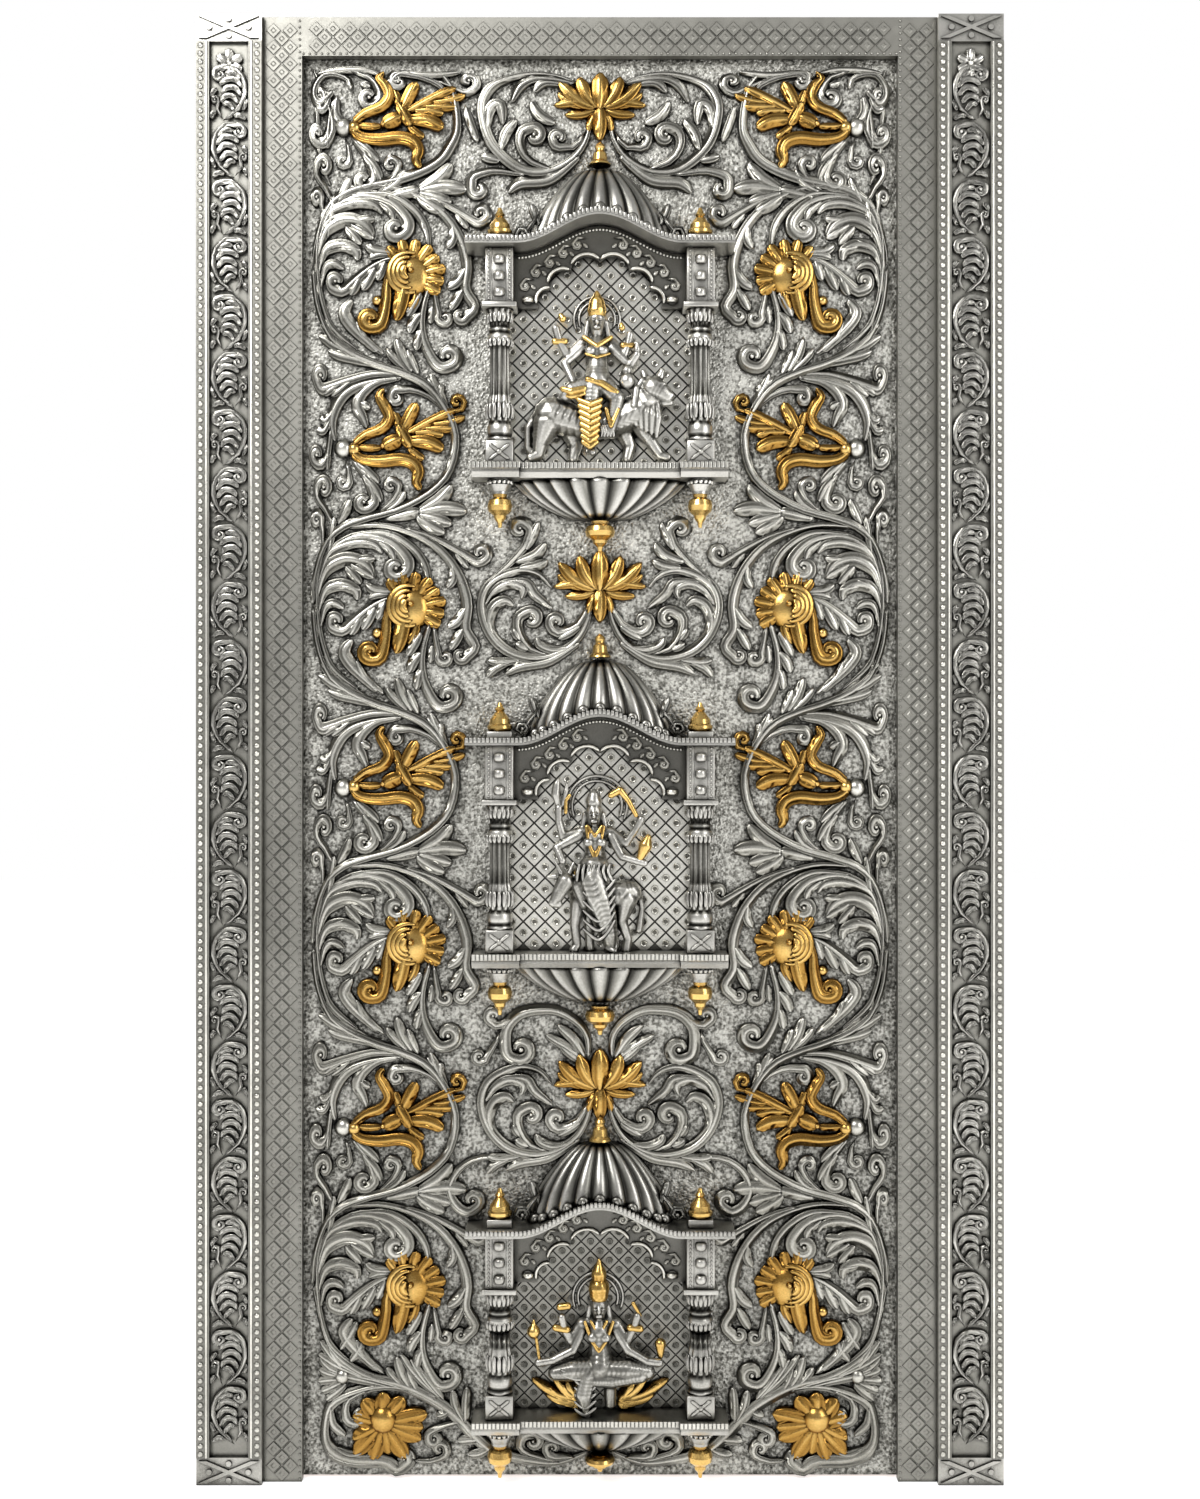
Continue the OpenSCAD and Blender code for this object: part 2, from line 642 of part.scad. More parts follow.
module niche_panel_lower() { niche_panel(0); }
module niche_panel_middle() { niche_panel(1); }
module niche_panel_upper() { niche_panel(2); }

// Cusped arch: what is left between the eave's underside and a row of foils
arch_d = 16;
arch_drop = bracket_h - seat_gap;
arch_eye = [105, 68, 7];
foils = [[19, 26, 24], [54, 44, 21], [75, 68, 17]];
module arch(i) {
    color(silver) on_ground() translate([0, eave_z(i), panel_t]) {
        linear_extrude(arch_d) difference() {
            polygon(concat(eave_line(panel_x, seat_gap), [[panel_x, -arch_drop], [-panel_x, -arch_drop]]));
            mirrored() for (f = foils) translate([f[0], -f[1]]) circle(r = f[2], $fn = 24);
            mirrored() polygon([[-1, -arch_drop - 1], [91, -arch_drop - 1], [90, -72], [75, -60], [54, -40],
                [19, -20], [-1, -20]]);
        }
        mirrored() translate([arch_eye[0], -arch_eye[1], arch_d]) cylinder(r = arch_eye[2], h = 4);
    }
}

module arch_lower() { arch(0); }
module arch_middle() { arch(1); }
module arch_upper() { arch(2); }

// A half-round shell of lobes; a level is [share of height, half width, depth] and the foot may follow the eave
module lobes(levels, height, count, bulge, follow) {
    for (k = [0 : count - 1]) hull() for (level = levels) {
        at = function (c) [level[1] * cos(180 * c / count), level[2] * sin(180 * c / count)];
        right = at(k);
        left = at(k + 1);
        mid = at(k + 0.5) * (1 + bulge);
        rest = follow ? (1 - level[0]) * min(eave_lift(right[0]), eave_lift(left[0])) + level[0] * eave_rise : 0;
        translate([0, rest + level[0] * height, 0]) rotate([90, 0, 0]) linear_extrude(0.01)
            polygon([[left[0], 0], [right[0], 0], right, mid, left]);
    }
}

// Canopy: an eave that swells in the middle, a lobed dome on it and a plinth at each end
bell_r = 16;
dome_lobes = 7;
module canopy(i) {
    low = eave_line(eave_reach, 0);
    color(silver) on_ground() translate([0, eave_z(i), 0]) {
        linear_extrude(eave_d) polygon(concat(low, [for (k = [len(low) - 1 : -1 : 0]) low[k] + [0, eave_t]]));
        mirrored() translate([column_x - plinth_w / 2, eave_t - 1, column_out - plinth_w / 2])
            cube([plinth_w, plinth_h + 1, plinth_w]);
        difference() {
            translate([0, eave_t - 1, 0]) lobes([[0, dome_r, eave_d - 12], [0.6, dome_r * 0.62, eave_d * 0.65],
                [1, bell_r + 2, 2 * bell_r + 4]], dome_h + 1, dome_lobes, 0.06, true);
            translate([0, 0, -1]) linear_extrude(eave_d + 2) polygon(concat(eave_line(eave_reach, 1 - eave_t),
                [[eave_reach, -eave_rise], [-eave_reach, -eave_rise]]));
        }
    }
}

module canopy_lower() { canopy(0); }
module canopy_middle() { canopy(1); }
module canopy_upper() { canopy(2); }

// Column: square plinth, turned bulb, leaf collar, shaft and capital, abacus and bracket block
column_plinth_h = 34;
abacus_h = 7;
shaft_r = 15;
module column(i) {
    h = column_hs[i] - column_plinth_h - abacus_h;
    plinth = 40;
    color(silver) translate([column_x, ground_y - column_out, shelf_zs[i]]) {
        translate([-plinth / 2, -plinth / 2, 0]) cube([plinth, plinth, column_plinth_h]);
        translate([0, 0, column_plinth_h]) rotate_extrude() polygon([[0, 0], [19, 0], [19, 4], [16, 7], [18, 14],
            [18, 22], [15, 27], [17, 30], [18, 40], [18, 52], [16, 64], [shaft_r, 68], [shaft_r - 1, h - 48],
            [18, h - 46], [18, h - 38], [15, h - 34], [17, h - 30], [14, h - 26], [15, h - 18], [20, h - 6], [20, h],
            [0, h]]);
        translate([-abacus_w / 2, -abacus_w / 2, column_hs[i] - abacus_h]) cube([abacus_w, abacus_w, abacus_h]);
        translate([-bracket_w / 2, -bracket_w / 2, column_hs[i]]) difference() {
            cube([bracket_w, bracket_w, bracket_h]);
            translate([11, -1, 8]) cube([18, 5, bracket_h - 16]);
        }
        for (k = [0 : 2]) translate([0, -bracket_w / 2 + 4, column_hs[i] + bracket_h * (0.26 + 0.24 * k)])
            rotate([90, 0, 0]) cylinder(r1 = 8, r2 = 6, h = 5);
    }
}

module column_left_lower() { mirror([1, 0, 0]) column(0); }
module column_left_middle() { mirror([1, 0, 0]) column(1); }
module column_left_upper() { mirror([1, 0, 0]) column(2); }
module column_right_lower() { column(0); }
module column_right_middle() { column(1); }
module column_right_upper() { column(2); }

// Shelf: a moulded slab with proud end blocks and a collar under each for the pendant
collar_top_r = 17;
collar_low_r = 10;
module shelf_bar(half, out) {
    translate([-half, 0, 0]) rotate([90, 0, 90]) linear_extrude(2 * half) polygon([[0, 0], [-out, 0], [-out, -8],
        [-out + 3, -10], [-out + 3, -13], [-out + 9, -shelf_t], [0, -shelf_t]]);
}

module shelf(i) {
    color(silver) translate([0, ground_y, shelf_zs[i]]) {
        shelf_bar(shelf_reach, shelf_d);
        mirrored() translate([shelf_reach - end_block_w / 2, 0, 0]) shelf_bar(end_block_w / 2, shelf_d + block_proud);
        mirrored() translate([column_x, -column_out, -shelf_t - collar_h]) {
            cylinder(r1 = collar_low_r, r2 = collar_top_r, h = collar_h * 0.6);
            cylinder(r = collar_low_r + 2, h = collar_h);
            translate([0, 0, collar_h - 5]) cylinder(r = collar_top_r, h = 5);
        }
    }
}

module shelf_lower() { shelf(0); }
module shelf_middle() { shelf(1); }
module shelf_upper() { shelf(2); }

// Bowl under the shelf, lobed like a half melon
drop_r = 22;
bowl_lobes = 9;
module bowl(i) {
    color(silver) on_ground() translate([0, shelf_zs[i] - shelf_t - seat_gap, 0]) mirror([0, 1, 0])
        lobes([[0, bowl_r, shelf_d - 10], [0.6, bowl_r * 0.72, shelf_d * 0.75], [1, drop_r + 2, 2 * drop_r + 4]],
            bowl_hs[i] - 2 * seat_gap, bowl_lobes, 0.07, false);
}

module bowl_lower() { bowl(0); }
module bowl_middle() { bowl(1); }
module bowl_upper() { bowl(2); }

// Gilt turnings: profiles as shares of radius and height
urn_r = 18;
bulb_r = 18;
urn_profile = [[0, 0], [0.85, 0], [1, 0.1], [1, 0.2], [0.85, 0.26], [0.8, 0.42], [0.5, 0.6], [0.32, 0.7],
    [0.42, 0.76], [0.26, 0.86], [0.14, 1], [0, 1]];
bell_profile = [[0, 0], [1, 0], [0.95, 0.08], [0.72, 0.2], [0.62, 0.5], [0.42, 0.62], [0.42, 0.7], [0.5, 0.78],
    [0.36, 0.9], [0.15, 1], [0, 1]];
drop_profile = [[0, 0], [0.14, 0], [0.2, 0.14], [0.45, 0.26], [0.5, 0.36], [0.92, 0.5], [1, 0.66], [0.9, 0.82],
    [0.55, 0.9], [0.6, 1], [0, 1]];

module turned(profile, r, h) {
    rotate_extrude() polygon([for (p = profile) [p[0] * r, p[1] * h]]);
}

module finials(i) {
    dome_top = eave_z(i) + eave_t + eave_rise + dome_h;
    color(gilt) {
        mirrored() translate([column_x, ground_y - column_out, eave_z(i) + eave_t + plinth_h])
            turned(urn_profile, urn_r, urn_h);
        mirrored() translate([column_x, ground_y - column_out, shelf_zs[i] - shelf_t - collar_h - bulb_h])
            turned(drop_profile, bulb_r, bulb_h);
        translate([0, ground_y - bell_r - 2, dome_top]) turned(bell_profile, bell_r, bell_h);
        translate([0, ground_y - drop_r - 2, shelf_zs[i] - shelf_t - bowl_hs[i] - drop_hs[i]])
            turned(drop_profile, drop_r, drop_hs[i]);
    }
}

module finials_lower() { finials(0); }
module finials_middle() { finials(1); }
module finials_upper() { finials(2); }

// Figures, drawn from the middle of the shelf in units that fill the niche's height
niche_units = [180, 210, 222];
module in_niche(i) {
    unit = (eave_z(i) - shelf_zs[i]) / niche_units[i];
    on_ground() translate([0, shelf_zs[i] + seat_gap, panel_t + seat_gap]) intersection() {
        scale(unit) children();
        translate([-panel_x, 0, 0]) cube([2 * panel_x, 400, eave_d]);
    }
}

// A rounded joint, cut with few faces, flattened towards the front
module joint_ball(j) {
    translate([j[0], j[1], j[2] - j[3] * 0.6]) rotate(45)
        cylinder(r1 = j[3] * 1.1, r2 = j[3] * 0.6, h = j[3] * 1.6, $fn = 4);
}

// A limb from one joint to the next, each [across, up, out, radius]
module limb(joints) {
    for (k = [0 : len(joints) - 2]) hull() for (j = [joints[k], joints[k + 1]]) joint_ball(j);
}

// A round plate with a raised rim behind the head, and the neck before it
module halo(at, r, rim) {
    translate([at[0], at[1], 0]) difference() {
        cylinder(r = r, h = 3, $fn = 12);
        if (rim > 0) translate([0, 0, 1.5]) cylinder(r = r - rim, h = 3, $fn = 12);
    }
    limb([[at[0], at[1] - 6, 10, 5], [at[0], at[1] - 28, 10, 6]]);
}

// Head with a plain oval face and a tiered crown of the given height
module head(at, r, crown_h) {
    translate([at[0], at[1], 10]) {
        scale([0.85, 1.1, 0.9]) sphere(r = r, $fn = 7);
        translate([0, r * 0.6, 0]) rotate([-90, 0, 0]) cylinder(r1 = r, r2 = 1, h = crown_h, $fn = 7);
    }
}

module figure_lion_rider() {
    color(silver) in_niche(2) {
        halo([-4, 143], 22, 0);
        head([-4, 139], 9, 26);
        limb([[-15, 116, 10, 7], [-7, 104, 11, 10], [-8, 86, 11, 9], [-8, 74, 13, 12]]);
        limb([[10, 116, 10, 7], [-7, 104, 11, 10]]);
        limb([[-18, 116, 10, 6], [-33, 104, 12, 5], [-40, 132, 13, 5]]);
        limb([[12, 116, 10, 6], [22, 102, 12, 5], [31, 126, 13, 5]]);
        limb([[-18, 112, 12, 5], [-34, 96, 15, 4], [-26, 78, 19, 4]]);
        limb([[12, 112, 12, 5], [32, 98, 15, 4], [26, 82, 19, 5]]);
        limb([[-10, 72, 16, 9], [-34, 70, 20, 7]]);
        limb([[-8, 70, 22, 10], [-10, 40, 24, 9], [-9, 14, 22, 7], [-9, 5, 22, 4]]);
        limb([[0, 74, 16, 8], [16, 64, 22, 6], [10, 30, 23, 6]]);
    }
}

module lion() {
    color(silver) in_niche(2) difference() {
        union() {
            limb([[-46, 46, 8, 16], [-10, 46, 8, 14], [34, 50, 8, 15], [50, 62, 10, 13]]);
            limb([[57, 68, 13, 12], [65, 62, 14, 8]]);
            limb([[58, 66, 9, 13], [56, 34, 8, 9], [50, 24, 8, 5]]);
            limb([[-50, 38, 10, 13], [-58, 16, 9, 6], [-68, 4, 9, 4]]);
            limb([[-34, 34, 5, 9], [-30, 16, 5, 5], [-24, 4, 5, 4]]);
            limb([[40, 38, 10, 10], [50, 14, 9, 5], [60, 4, 9, 4]]);
            limb([[28, 36, 5, 8], [30, 16, 5, 5], [26, 4, 5, 4]]);
            limb([[-58, 46, 4, 4], [-73, 30, 4, 3], [-72, 12, 4, 3], [-64, 5, 4, 4]]);
        }
        rider_cut();
    }
}

// Room for the rider on an animal's back
module rider_cut() {
    translate([-45, 28, 6.5]) cube([75, 60, 40]);
    translate([-22, -1, 11]) cube([46, 60, 40]);
}

module figure_bull_rider() {
    color(silver) in_niche(1) {
        halo([-4, 150], 30, 0);
        head([-6, 144], 9, 20);
        limb([[-16, 124, 10, 7], [-7, 112, 11, 11], [-6, 98, 11, 10]]);
        limb([[8, 124, 10, 7], [-7, 112, 11, 11]]);
        limb([[-18, 124, 10, 6], [-38, 122, 13, 5], [-41, 150, 13, 5]]);
        limb([[12, 124, 10, 6], [28, 108, 12, 5], [39, 136, 13, 5]]);
        limb([[-20, 118, 12, 5], [-38, 104, 15, 4], [-36, 92, 18, 4]]);
        limb([[14, 118, 12, 5], [22, 98, 15, 4], [42, 92, 18, 5]]);
        limb([[-16, 90, 16, 9], [10, 88, 17, 10], [8, 60, 22, 11], [6, 26, 22, 9]]);
        limb([[12, 26, 20, 5], [10, 5, 21, 4]]);
    }
}

module bull() {
    color(silver) in_niche(1) difference() {
        union() {
            limb([[-20, 60, 9, 12], [0, 52, 8, 13], [22, 54, 8, 14]]);
            limb([[-22, 62, 10, 10], [-32, 76, 13, 9], [-42, 60, 15, 6]]);
            limb([[-38, 84, 12, 3], [-50, 92, 12, 2]]);
            limb([[-20, 48, 10, 9], [-26, 24, 10, 5], [-24, 4, 10, 4]]);
            limb([[24, 50, 9, 12], [28, 24, 9, 6], [30, 4, 9, 4]]);
            limb([[-6, 44, 5, 7], [-8, 4, 5, 4]]);
            limb([[34, 58, 4, 3], [38, 30, 4, 3], [38, 16, 4, 4]]);
        }
        translate([-28, 64, 5]) cube([60, 60, 40]);
        translate([-7, -1, 10]) cube([28, 80, 40]);
    }
}

module figure_seated() {
    color(silver) in_niche(0) {
        halo([-2, 122], 25, 4);
        head([-1, 116], 9, 34);
        limb([[-16, 102, 10, 8], [-1, 90, 11, 12], [-1, 70, 12, 11]]);
        limb([[14, 102, 10, 8], [-1, 90, 11, 12]]);
        limb([[-20, 102, 10, 6], [-32, 84, 12, 5], [-38, 112, 13, 5]]);
        limb([[18, 102, 10, 6], [30, 84, 12, 5], [37, 108, 13, 5]]);
        limb([[-20, 96, 12, 5], [-26, 76, 15, 5], [-58, 64, 17, 4]]);
        limb([[18, 96, 12, 5], [26, 76, 15, 5], [60, 66, 17, 4]]);
        limb([[-42, 60, 15, 8], [0, 62, 17, 10], [44, 60, 15, 8]]);
        limb([[-6, 56, 18, 9], [-14, 36, 18, 8], [-13, 6, 18, 5]]);
        limb([[-62, 54, 14, 3], [-65, 90, 10, 3], [-65, 98, 10, 6]]);
        limb([[60, 66, 14, 4], [60, 80, 12, 6]]);
    }
}

// Lotus seat: gilt petals each side of the hanging drape, standing off a central pad
module lotus_seat() {
    color(gilt) in_niche(0) difference() {
        union() {
            for (side = [-1, 1], k = [0 : 3]) {
                lean = 28 + 32 * k;
                limb([[side * 24, 26, 5, 5], [side * (28 + 24 * sin(lean)), 24 + 26 * cos(lean), 7, 7],
                    [side * (30 + 36 * sin(lean)), 24 + 36 * cos(lean), 6, 3]]);
            }
            limb([[-26, 26, 4, 6], [0, 14, 4, 8], [26, 26, 4, 6]]);
            limb([[0, 14, 4, 10], [0, 4, 4, 8]]);
        }
        translate([-26, -1, 8]) cube([28, 80, 40]);
        translate([-80, 49, -1]) cube([160, 80, 60]);
    }
}

jamb_core_left();
jamb_core_right();
head_core();
jamb_sheet_left();
jamb_sheet_right();
head_sheet();
pilaster_core_left();
pilaster_core_right();
pilaster_casing_left();
pilaster_casing_right();
pilaster_scroll_left();
pilaster_scroll_right();
pilaster_blocks();
hinge_plates_frame();
hinge_pins();
hinge_plates_leaf();
leaf_core();
ground_sheet();
side_scroll_left();
side_scroll_right();
centre_scroll_lower();
centre_scroll_middle();
centre_scroll_upper();
base_scroll();
gilt_lilies();
gilt_buds();
gilt_sunflowers();
gilt_lotuses();
niche_panel_lower();
niche_panel_middle();
niche_panel_upper();
arch_lower();
arch_middle();
arch_upper();
canopy_lower();
canopy_middle();
canopy_upper();
column_left_lower();
column_left_middle();
column_left_upper();
column_right_lower();
column_right_middle();
column_right_upper();
shelf_lower();
shelf_middle();
shelf_upper();
bowl_lower();
bowl_middle();
bowl_upper();
finials_lower();
finials_middle();
finials_upper();
figure_seated();
figure_bull_rider();
figure_lion_rider();
lotus_seat();
bull();
lion();
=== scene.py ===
import json
import math
import bmesh
import bpy
from mathutils import Matrix, Vector


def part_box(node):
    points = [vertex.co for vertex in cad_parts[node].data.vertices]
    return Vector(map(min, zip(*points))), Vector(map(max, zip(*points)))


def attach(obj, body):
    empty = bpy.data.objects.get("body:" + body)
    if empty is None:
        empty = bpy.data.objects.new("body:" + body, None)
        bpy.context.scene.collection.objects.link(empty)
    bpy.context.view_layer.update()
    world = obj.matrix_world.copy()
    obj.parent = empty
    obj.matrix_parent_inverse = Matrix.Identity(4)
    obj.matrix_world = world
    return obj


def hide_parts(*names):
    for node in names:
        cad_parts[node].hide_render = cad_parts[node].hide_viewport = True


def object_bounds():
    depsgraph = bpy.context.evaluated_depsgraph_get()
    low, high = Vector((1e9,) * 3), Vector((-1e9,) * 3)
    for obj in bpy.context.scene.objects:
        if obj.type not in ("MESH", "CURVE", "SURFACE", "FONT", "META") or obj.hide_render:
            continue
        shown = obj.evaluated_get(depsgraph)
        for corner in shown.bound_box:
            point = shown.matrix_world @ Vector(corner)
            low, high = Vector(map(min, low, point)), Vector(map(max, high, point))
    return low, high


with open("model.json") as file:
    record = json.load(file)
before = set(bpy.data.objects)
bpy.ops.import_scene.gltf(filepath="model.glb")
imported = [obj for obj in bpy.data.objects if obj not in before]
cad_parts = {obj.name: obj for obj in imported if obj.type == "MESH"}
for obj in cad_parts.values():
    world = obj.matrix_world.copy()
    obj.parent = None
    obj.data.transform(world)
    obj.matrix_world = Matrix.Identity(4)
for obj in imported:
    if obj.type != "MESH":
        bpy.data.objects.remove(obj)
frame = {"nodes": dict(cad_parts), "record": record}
cadBox = [[float(c) for c in corner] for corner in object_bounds()]
nodes = frame["nodes"]
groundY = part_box("ground_sheet")[0].y  # front of the hammered sheet
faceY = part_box("jamb_sheet_left")[0].y  # front of the frame's sheet
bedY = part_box("pilaster_scroll_left")[1].y  # sunken bed of a pilaster
view = dict(unit=0.001461, middle=(600, 749.5), height=1.067, distance=2.6, frameTall=2.184)
lip = dict(side=330, sideDraw=0.64, top=85, topDraw=0.7)  # leaves beside the frame are drawn in, so the door can swing


def drawn(x, y):  # a drawing place, in the photo's units, to X and Z on the leaf's ground
    x = lip["side"] - (lip["side"] - x) * lip["sideDraw"] if x < lip["side"] else x
    y = lip["top"] - (lip["top"] - y) * lip["topDraw"] if y < lip["top"] else y
    return (x - view["middle"][0]) * view["unit"], view["height"] + (view["middle"][1] - y) * view["unit"]


# Shader maths

class Val:
    def __init__(self, look, socket):
        self.look, self.socket = look, socket

    def maths(self, operation, first, second):
        return self.look.node("ShaderNodeMath", {"operation": operation}, {0: first, 1: second})

    def __add__(self, other): return self.maths("ADD", self, other)
    def __radd__(self, other): return self.maths("ADD", other, self)
    def __sub__(self, other): return self.maths("SUBTRACT", self, other)
    def __rsub__(self, other): return self.maths("SUBTRACT", other, self)
    def __mul__(self, other): return self.maths("MULTIPLY", self, other)
    def __rmul__(self, other): return self.maths("MULTIPLY", other, self)
    def __pow__(self, other): return self.maths("POWER", self, other)


class Look:
    def __init__(self, name):
        self.material = bpy.data.materials.new(name)
        self.material.use_nodes = True
        self.tree = self.material.node_tree
        self.shader = self.tree.nodes["Principled BSDF"]

    def node(self, kind, settings, sockets, output=0):
        made = self.tree.nodes.new(kind)
        for key, value in settings.items():
            if key == "stops":
                ramp = made.color_ramp.elements
                while len(ramp) < len(value):
                    ramp.new(0.5)
                for element, (place, colour) in zip(ramp, value):
                    element.position, element.color = place, (*colour, 1)
            else:
                setattr(made, key, value)
        for key, value in sockets.items():
            self.link(value, made.inputs[key])
        return Val(self, made.outputs[output])

    def link(self, value, socket):
        if isinstance(value, Val):
            self.tree.links.new(value.socket, socket)
        else:
            socket.default_value = value

    def set(self, **values):
        for key, value in values.items():
            self.link(value, self.shader.inputs[key.replace("_", " ")])

    def noise(self, scale, detail=3, stretch=(1, 1, 1)):
        where = self.node("ShaderNodeTexCoord", {}, {}, "Object")
        where = self.node("ShaderNodeMapping", {}, {"Vector": where, "Scale": stretch})
        return self.node("ShaderNodeTexNoise", {}, {"Vector": where, "Scale": scale, "Detail": detail}, "Fac")

    def shade(self, distance):  # how open a spot is, dark in hollows
        return self.node("ShaderNodeAmbientOcclusion", {"samples": 2}, {"Distance": distance}, "AO")

    def paintedShadeLow(self, most):  # painted shade: the colour darkens towards the foot of the door, standing in for less light reaching the lower part
        where = self.node("ShaderNodeTexCoord", {}, {}, "Object")
        up = self.node("ShaderNodeSeparateXYZ", {}, {"Vector": where}, "Z")
        return (1 - up * (1 / cadBox[1][2])) ** 1.6 * most

    def ramp(self, value, stops):
        return self.node("ShaderNodeValToRGB", {"stops": stops}, {"Fac": value}, "Color")

    def bump(self, height, strength, distance):
        self.set(Normal=self.node("ShaderNodeBump", {}, {"Height": height, "Strength": strength,
                                                          "Distance": distance}, "Normal"))


def metal(name, stops, rough, reach, patinaAndSheen=True):  # dark in hollows for the patina, and bright on crests as a painted highlight
    look = Look(name)
    opened = look.shade(reach) + (look.noise(14) - 0.5) * 0.25 + (look.noise(420) - 0.5) * 0.14
    if patinaAndSheen:
        # the open attribute darkens edges and hollows as patina and paints the crests bright, a painted highlight
        opened = opened - (1 - look.node("ShaderNodeAttribute", {"attribute_name": "open"}, {}, "Fac")) * 0.75
    # painted shade towards the foot of the door is taken off the base colour
    look.set(Base_Color=look.ramp(opened - look.paintedShadeLow(0.08), stops), Metallic=1.0,
             Roughness=rough + (look.noise(60) - 0.5) * 0.2)
    look.bump(look.noise(900) * 0.4 + look.noise(140, 2) * 0.6, 0.4, 0.0006)
    return look.material


def hammered(name, stops):  # stippled sheet: pale grey flecks over darker pits
    look = Look(name)
    where = look.node("ShaderNodeTexCoord", {}, {}, "Object")
    pits = look.node("ShaderNodeTexVoronoi", {}, {"Vector": where, "Scale": 260}, "Distance")
    flecks = look.noise(230, 6)
    opened = look.shade(0.016)
    tone = opened * 0.6 + (flecks - 0.5) * 1.7 + (look.noise(9) - 0.5) * 0.35 + pits * 0.22
    # painted shade towards the foot of the door is taken off the sheet's colour
    look.set(Base_Color=look.ramp(tone - look.paintedShadeLow(0.1), stops), Metallic=0.9, Roughness=0.36 + flecks * 0.2)
    look.bump(flecks * 0.5 + pits * 0.5, 1.0, 0.0026)
    return look.material


def timber(name):
    look = Look(name)
    grain = look.noise(26, 6, (5, 5, 0.22))
    pores = look.noise(240, 4, (1, 1, 0.06))
    look.set(Base_Color=look.ramp(grain * 0.75 + pores * 0.25, [(0.3, (0.12, 0.055, 0.024)),
             (0.5, (0.24, 0.12, 0.055)), (0.72, (0.36, 0.2, 0.1))]), Roughness=0.62 - grain * 0.2)
    look.bump(pores, 0.4, 0.0008)
    return look.material


# the silver and gilt ramps run from near black for patina in hollows to bright crest colours, which are a painted
# highlight
silverStops = [(0.32, (0.007, 0.0066, 0.0056)), (0.54, (0.06, 0.057, 0.048)), (0.8, (0.31, 0.3, 0.262)),
               (1.0, (0.84, 0.82, 0.75))]
figureStops = [(0.38, (0.008, 0.0077, 0.0066)), (0.62, (0.075, 0.072, 0.063)), (0.84, (0.25, 0.243, 0.217)),
               (1.0, (0.62, 0.605, 0.56))]
bedStops = [(0.2, (0.012, 0.0115, 0.01)), (0.42, (0.1, 0.097, 0.085)), (0.7, (0.4, 0.39, 0.35)), (1.0, (0.86, 0.84, 0.78))]
stripStops = [(0.35, (0.02, 0.02, 0.017)), (0.7, (0.13, 0.127, 0.112)), (1.0, (0.32, 0.312, 0.28))]
darkStops = [(0.3, (0.008, 0.008, 0.007)), (0.7, (0.05, 0.048, 0.042)), (1.0, (0.17, 0.165, 0.148))]
giltStops = [(0.3, (0.026, 0.009, 0.002)), (0.58, (0.14, 0.064, 0.012)), (0.82, (0.42, 0.235, 0.055)), (1.0, (0.85, 0.58, 0.2))]
steelStops = [(0.3, (0.1, 0.1, 0.1)), (1.0, (0.42, 0.42, 0.43))]
groundStops = [(0.2, (0.02, 0.019, 0.016)), (0.5, (0.19, 0.185, 0.163)), (0.86, (0.57, 0.56, 0.515))]
looks = dict(
    silver=metal("chased_silver", silverStops, 0.3, 0.009),
    figure=metal("figure_silver", figureStops, 0.34, 0.009),
    bed=metal("pilaster_silver", bedStops, 0.3, 0.005),
    strip=metal("embossed_silver", stripStops, 0.46, 0.004),
    gilt=metal("gilt_patina_and_sheen", giltStops, 0.24, 0.008),
    silverPlate=metal("plain_silver", figureStops, 0.34, 0.012, False),
    stripPlate=metal("sheet_silver", stripStops, 0.46, 0.006, False),
    darkPlate=metal("dark_silver", darkStops, 0.4, 0.01, False),
    giltPlate=metal("plain_gilt", giltStops, 0.24, 0.01, False),
    ground=hammered("hammered_sheet", groundStops),
    teak=timber("oiled_teak"),
    steel=metal("plain_steel", steelStops, 0.38, 0.004, False))
print("building the looks")
for name, node in nodes.items():
    slot = next(s["material_slot"] for s in frame["record"]["subparts"] if s["node"] == name)
    kind = {"silver": "silverPlate", "pale_silver": "silverPlate", "gilt": "giltPlate"}.get(slot, slot)
    kind = "stripPlate" if name.startswith(("jamb_sheet", "head_sheet", "pilaster_casing")) else kind
    kind = "darkPlate" if name.startswith(("niche_panel", "arch_")) else kind
    kind = "ground" if name == "ground_sheet" else kind
    node.data.materials.clear()
    node.data.materials.append(looks[kind])
print("materials set on", len(nodes), "nodes")


# Pieces

def fresh():  # an empty mesh that records how open each spot is, 0 in hollows; the value darkens hollows as patina and paints crests bright as a painted highlight
    bm = bmesh.new()
    bm.verts.layers.float.new("open")
    return bm


def pour(part, heap):  # a finished small mesh joins its piece's heap
    bmesh.ops.recalc_face_normals(part, faces=part.faces)
    part.normal_update()
    part.verts.index_update()
    layer = part.verts.layers.float["open"]
    opens = []
    for v in part.verts:
        value = v[layer]
        if value == 0:  # hollow or crest, by how the neighbours lie: hollows darken as patina, crests take a painted highlight
            spans = [e.other_vert(v).co - v.co for e in v.link_edges]
            bend = sum(d.dot(v.normal) for d in spans) / max(1e-9, sum(d.length for d in spans))
            value = max(0.15, min(1.0, 0.86 - 2.6 * bend))
        opens.append(value)
    heap.append(([v.co.copy() for v in part.verts], opens, [[v.index for v in f.verts] for f in part.faces]))
    part.free()


def heapMesh(name, heap):
    coords, opens, faces = [], [], []
    for some, values, loops in heap:
        faces += [[k + len(coords) for k in loop] for loop in loops]
        coords += some
        opens += values
    mesh = bpy.data.meshes.new(name)
    mesh.from_pydata(coords, [], faces)
    mesh.attributes.new("open", "FLOAT", "POINT").data.foreach_set("value", opens)
    return mesh


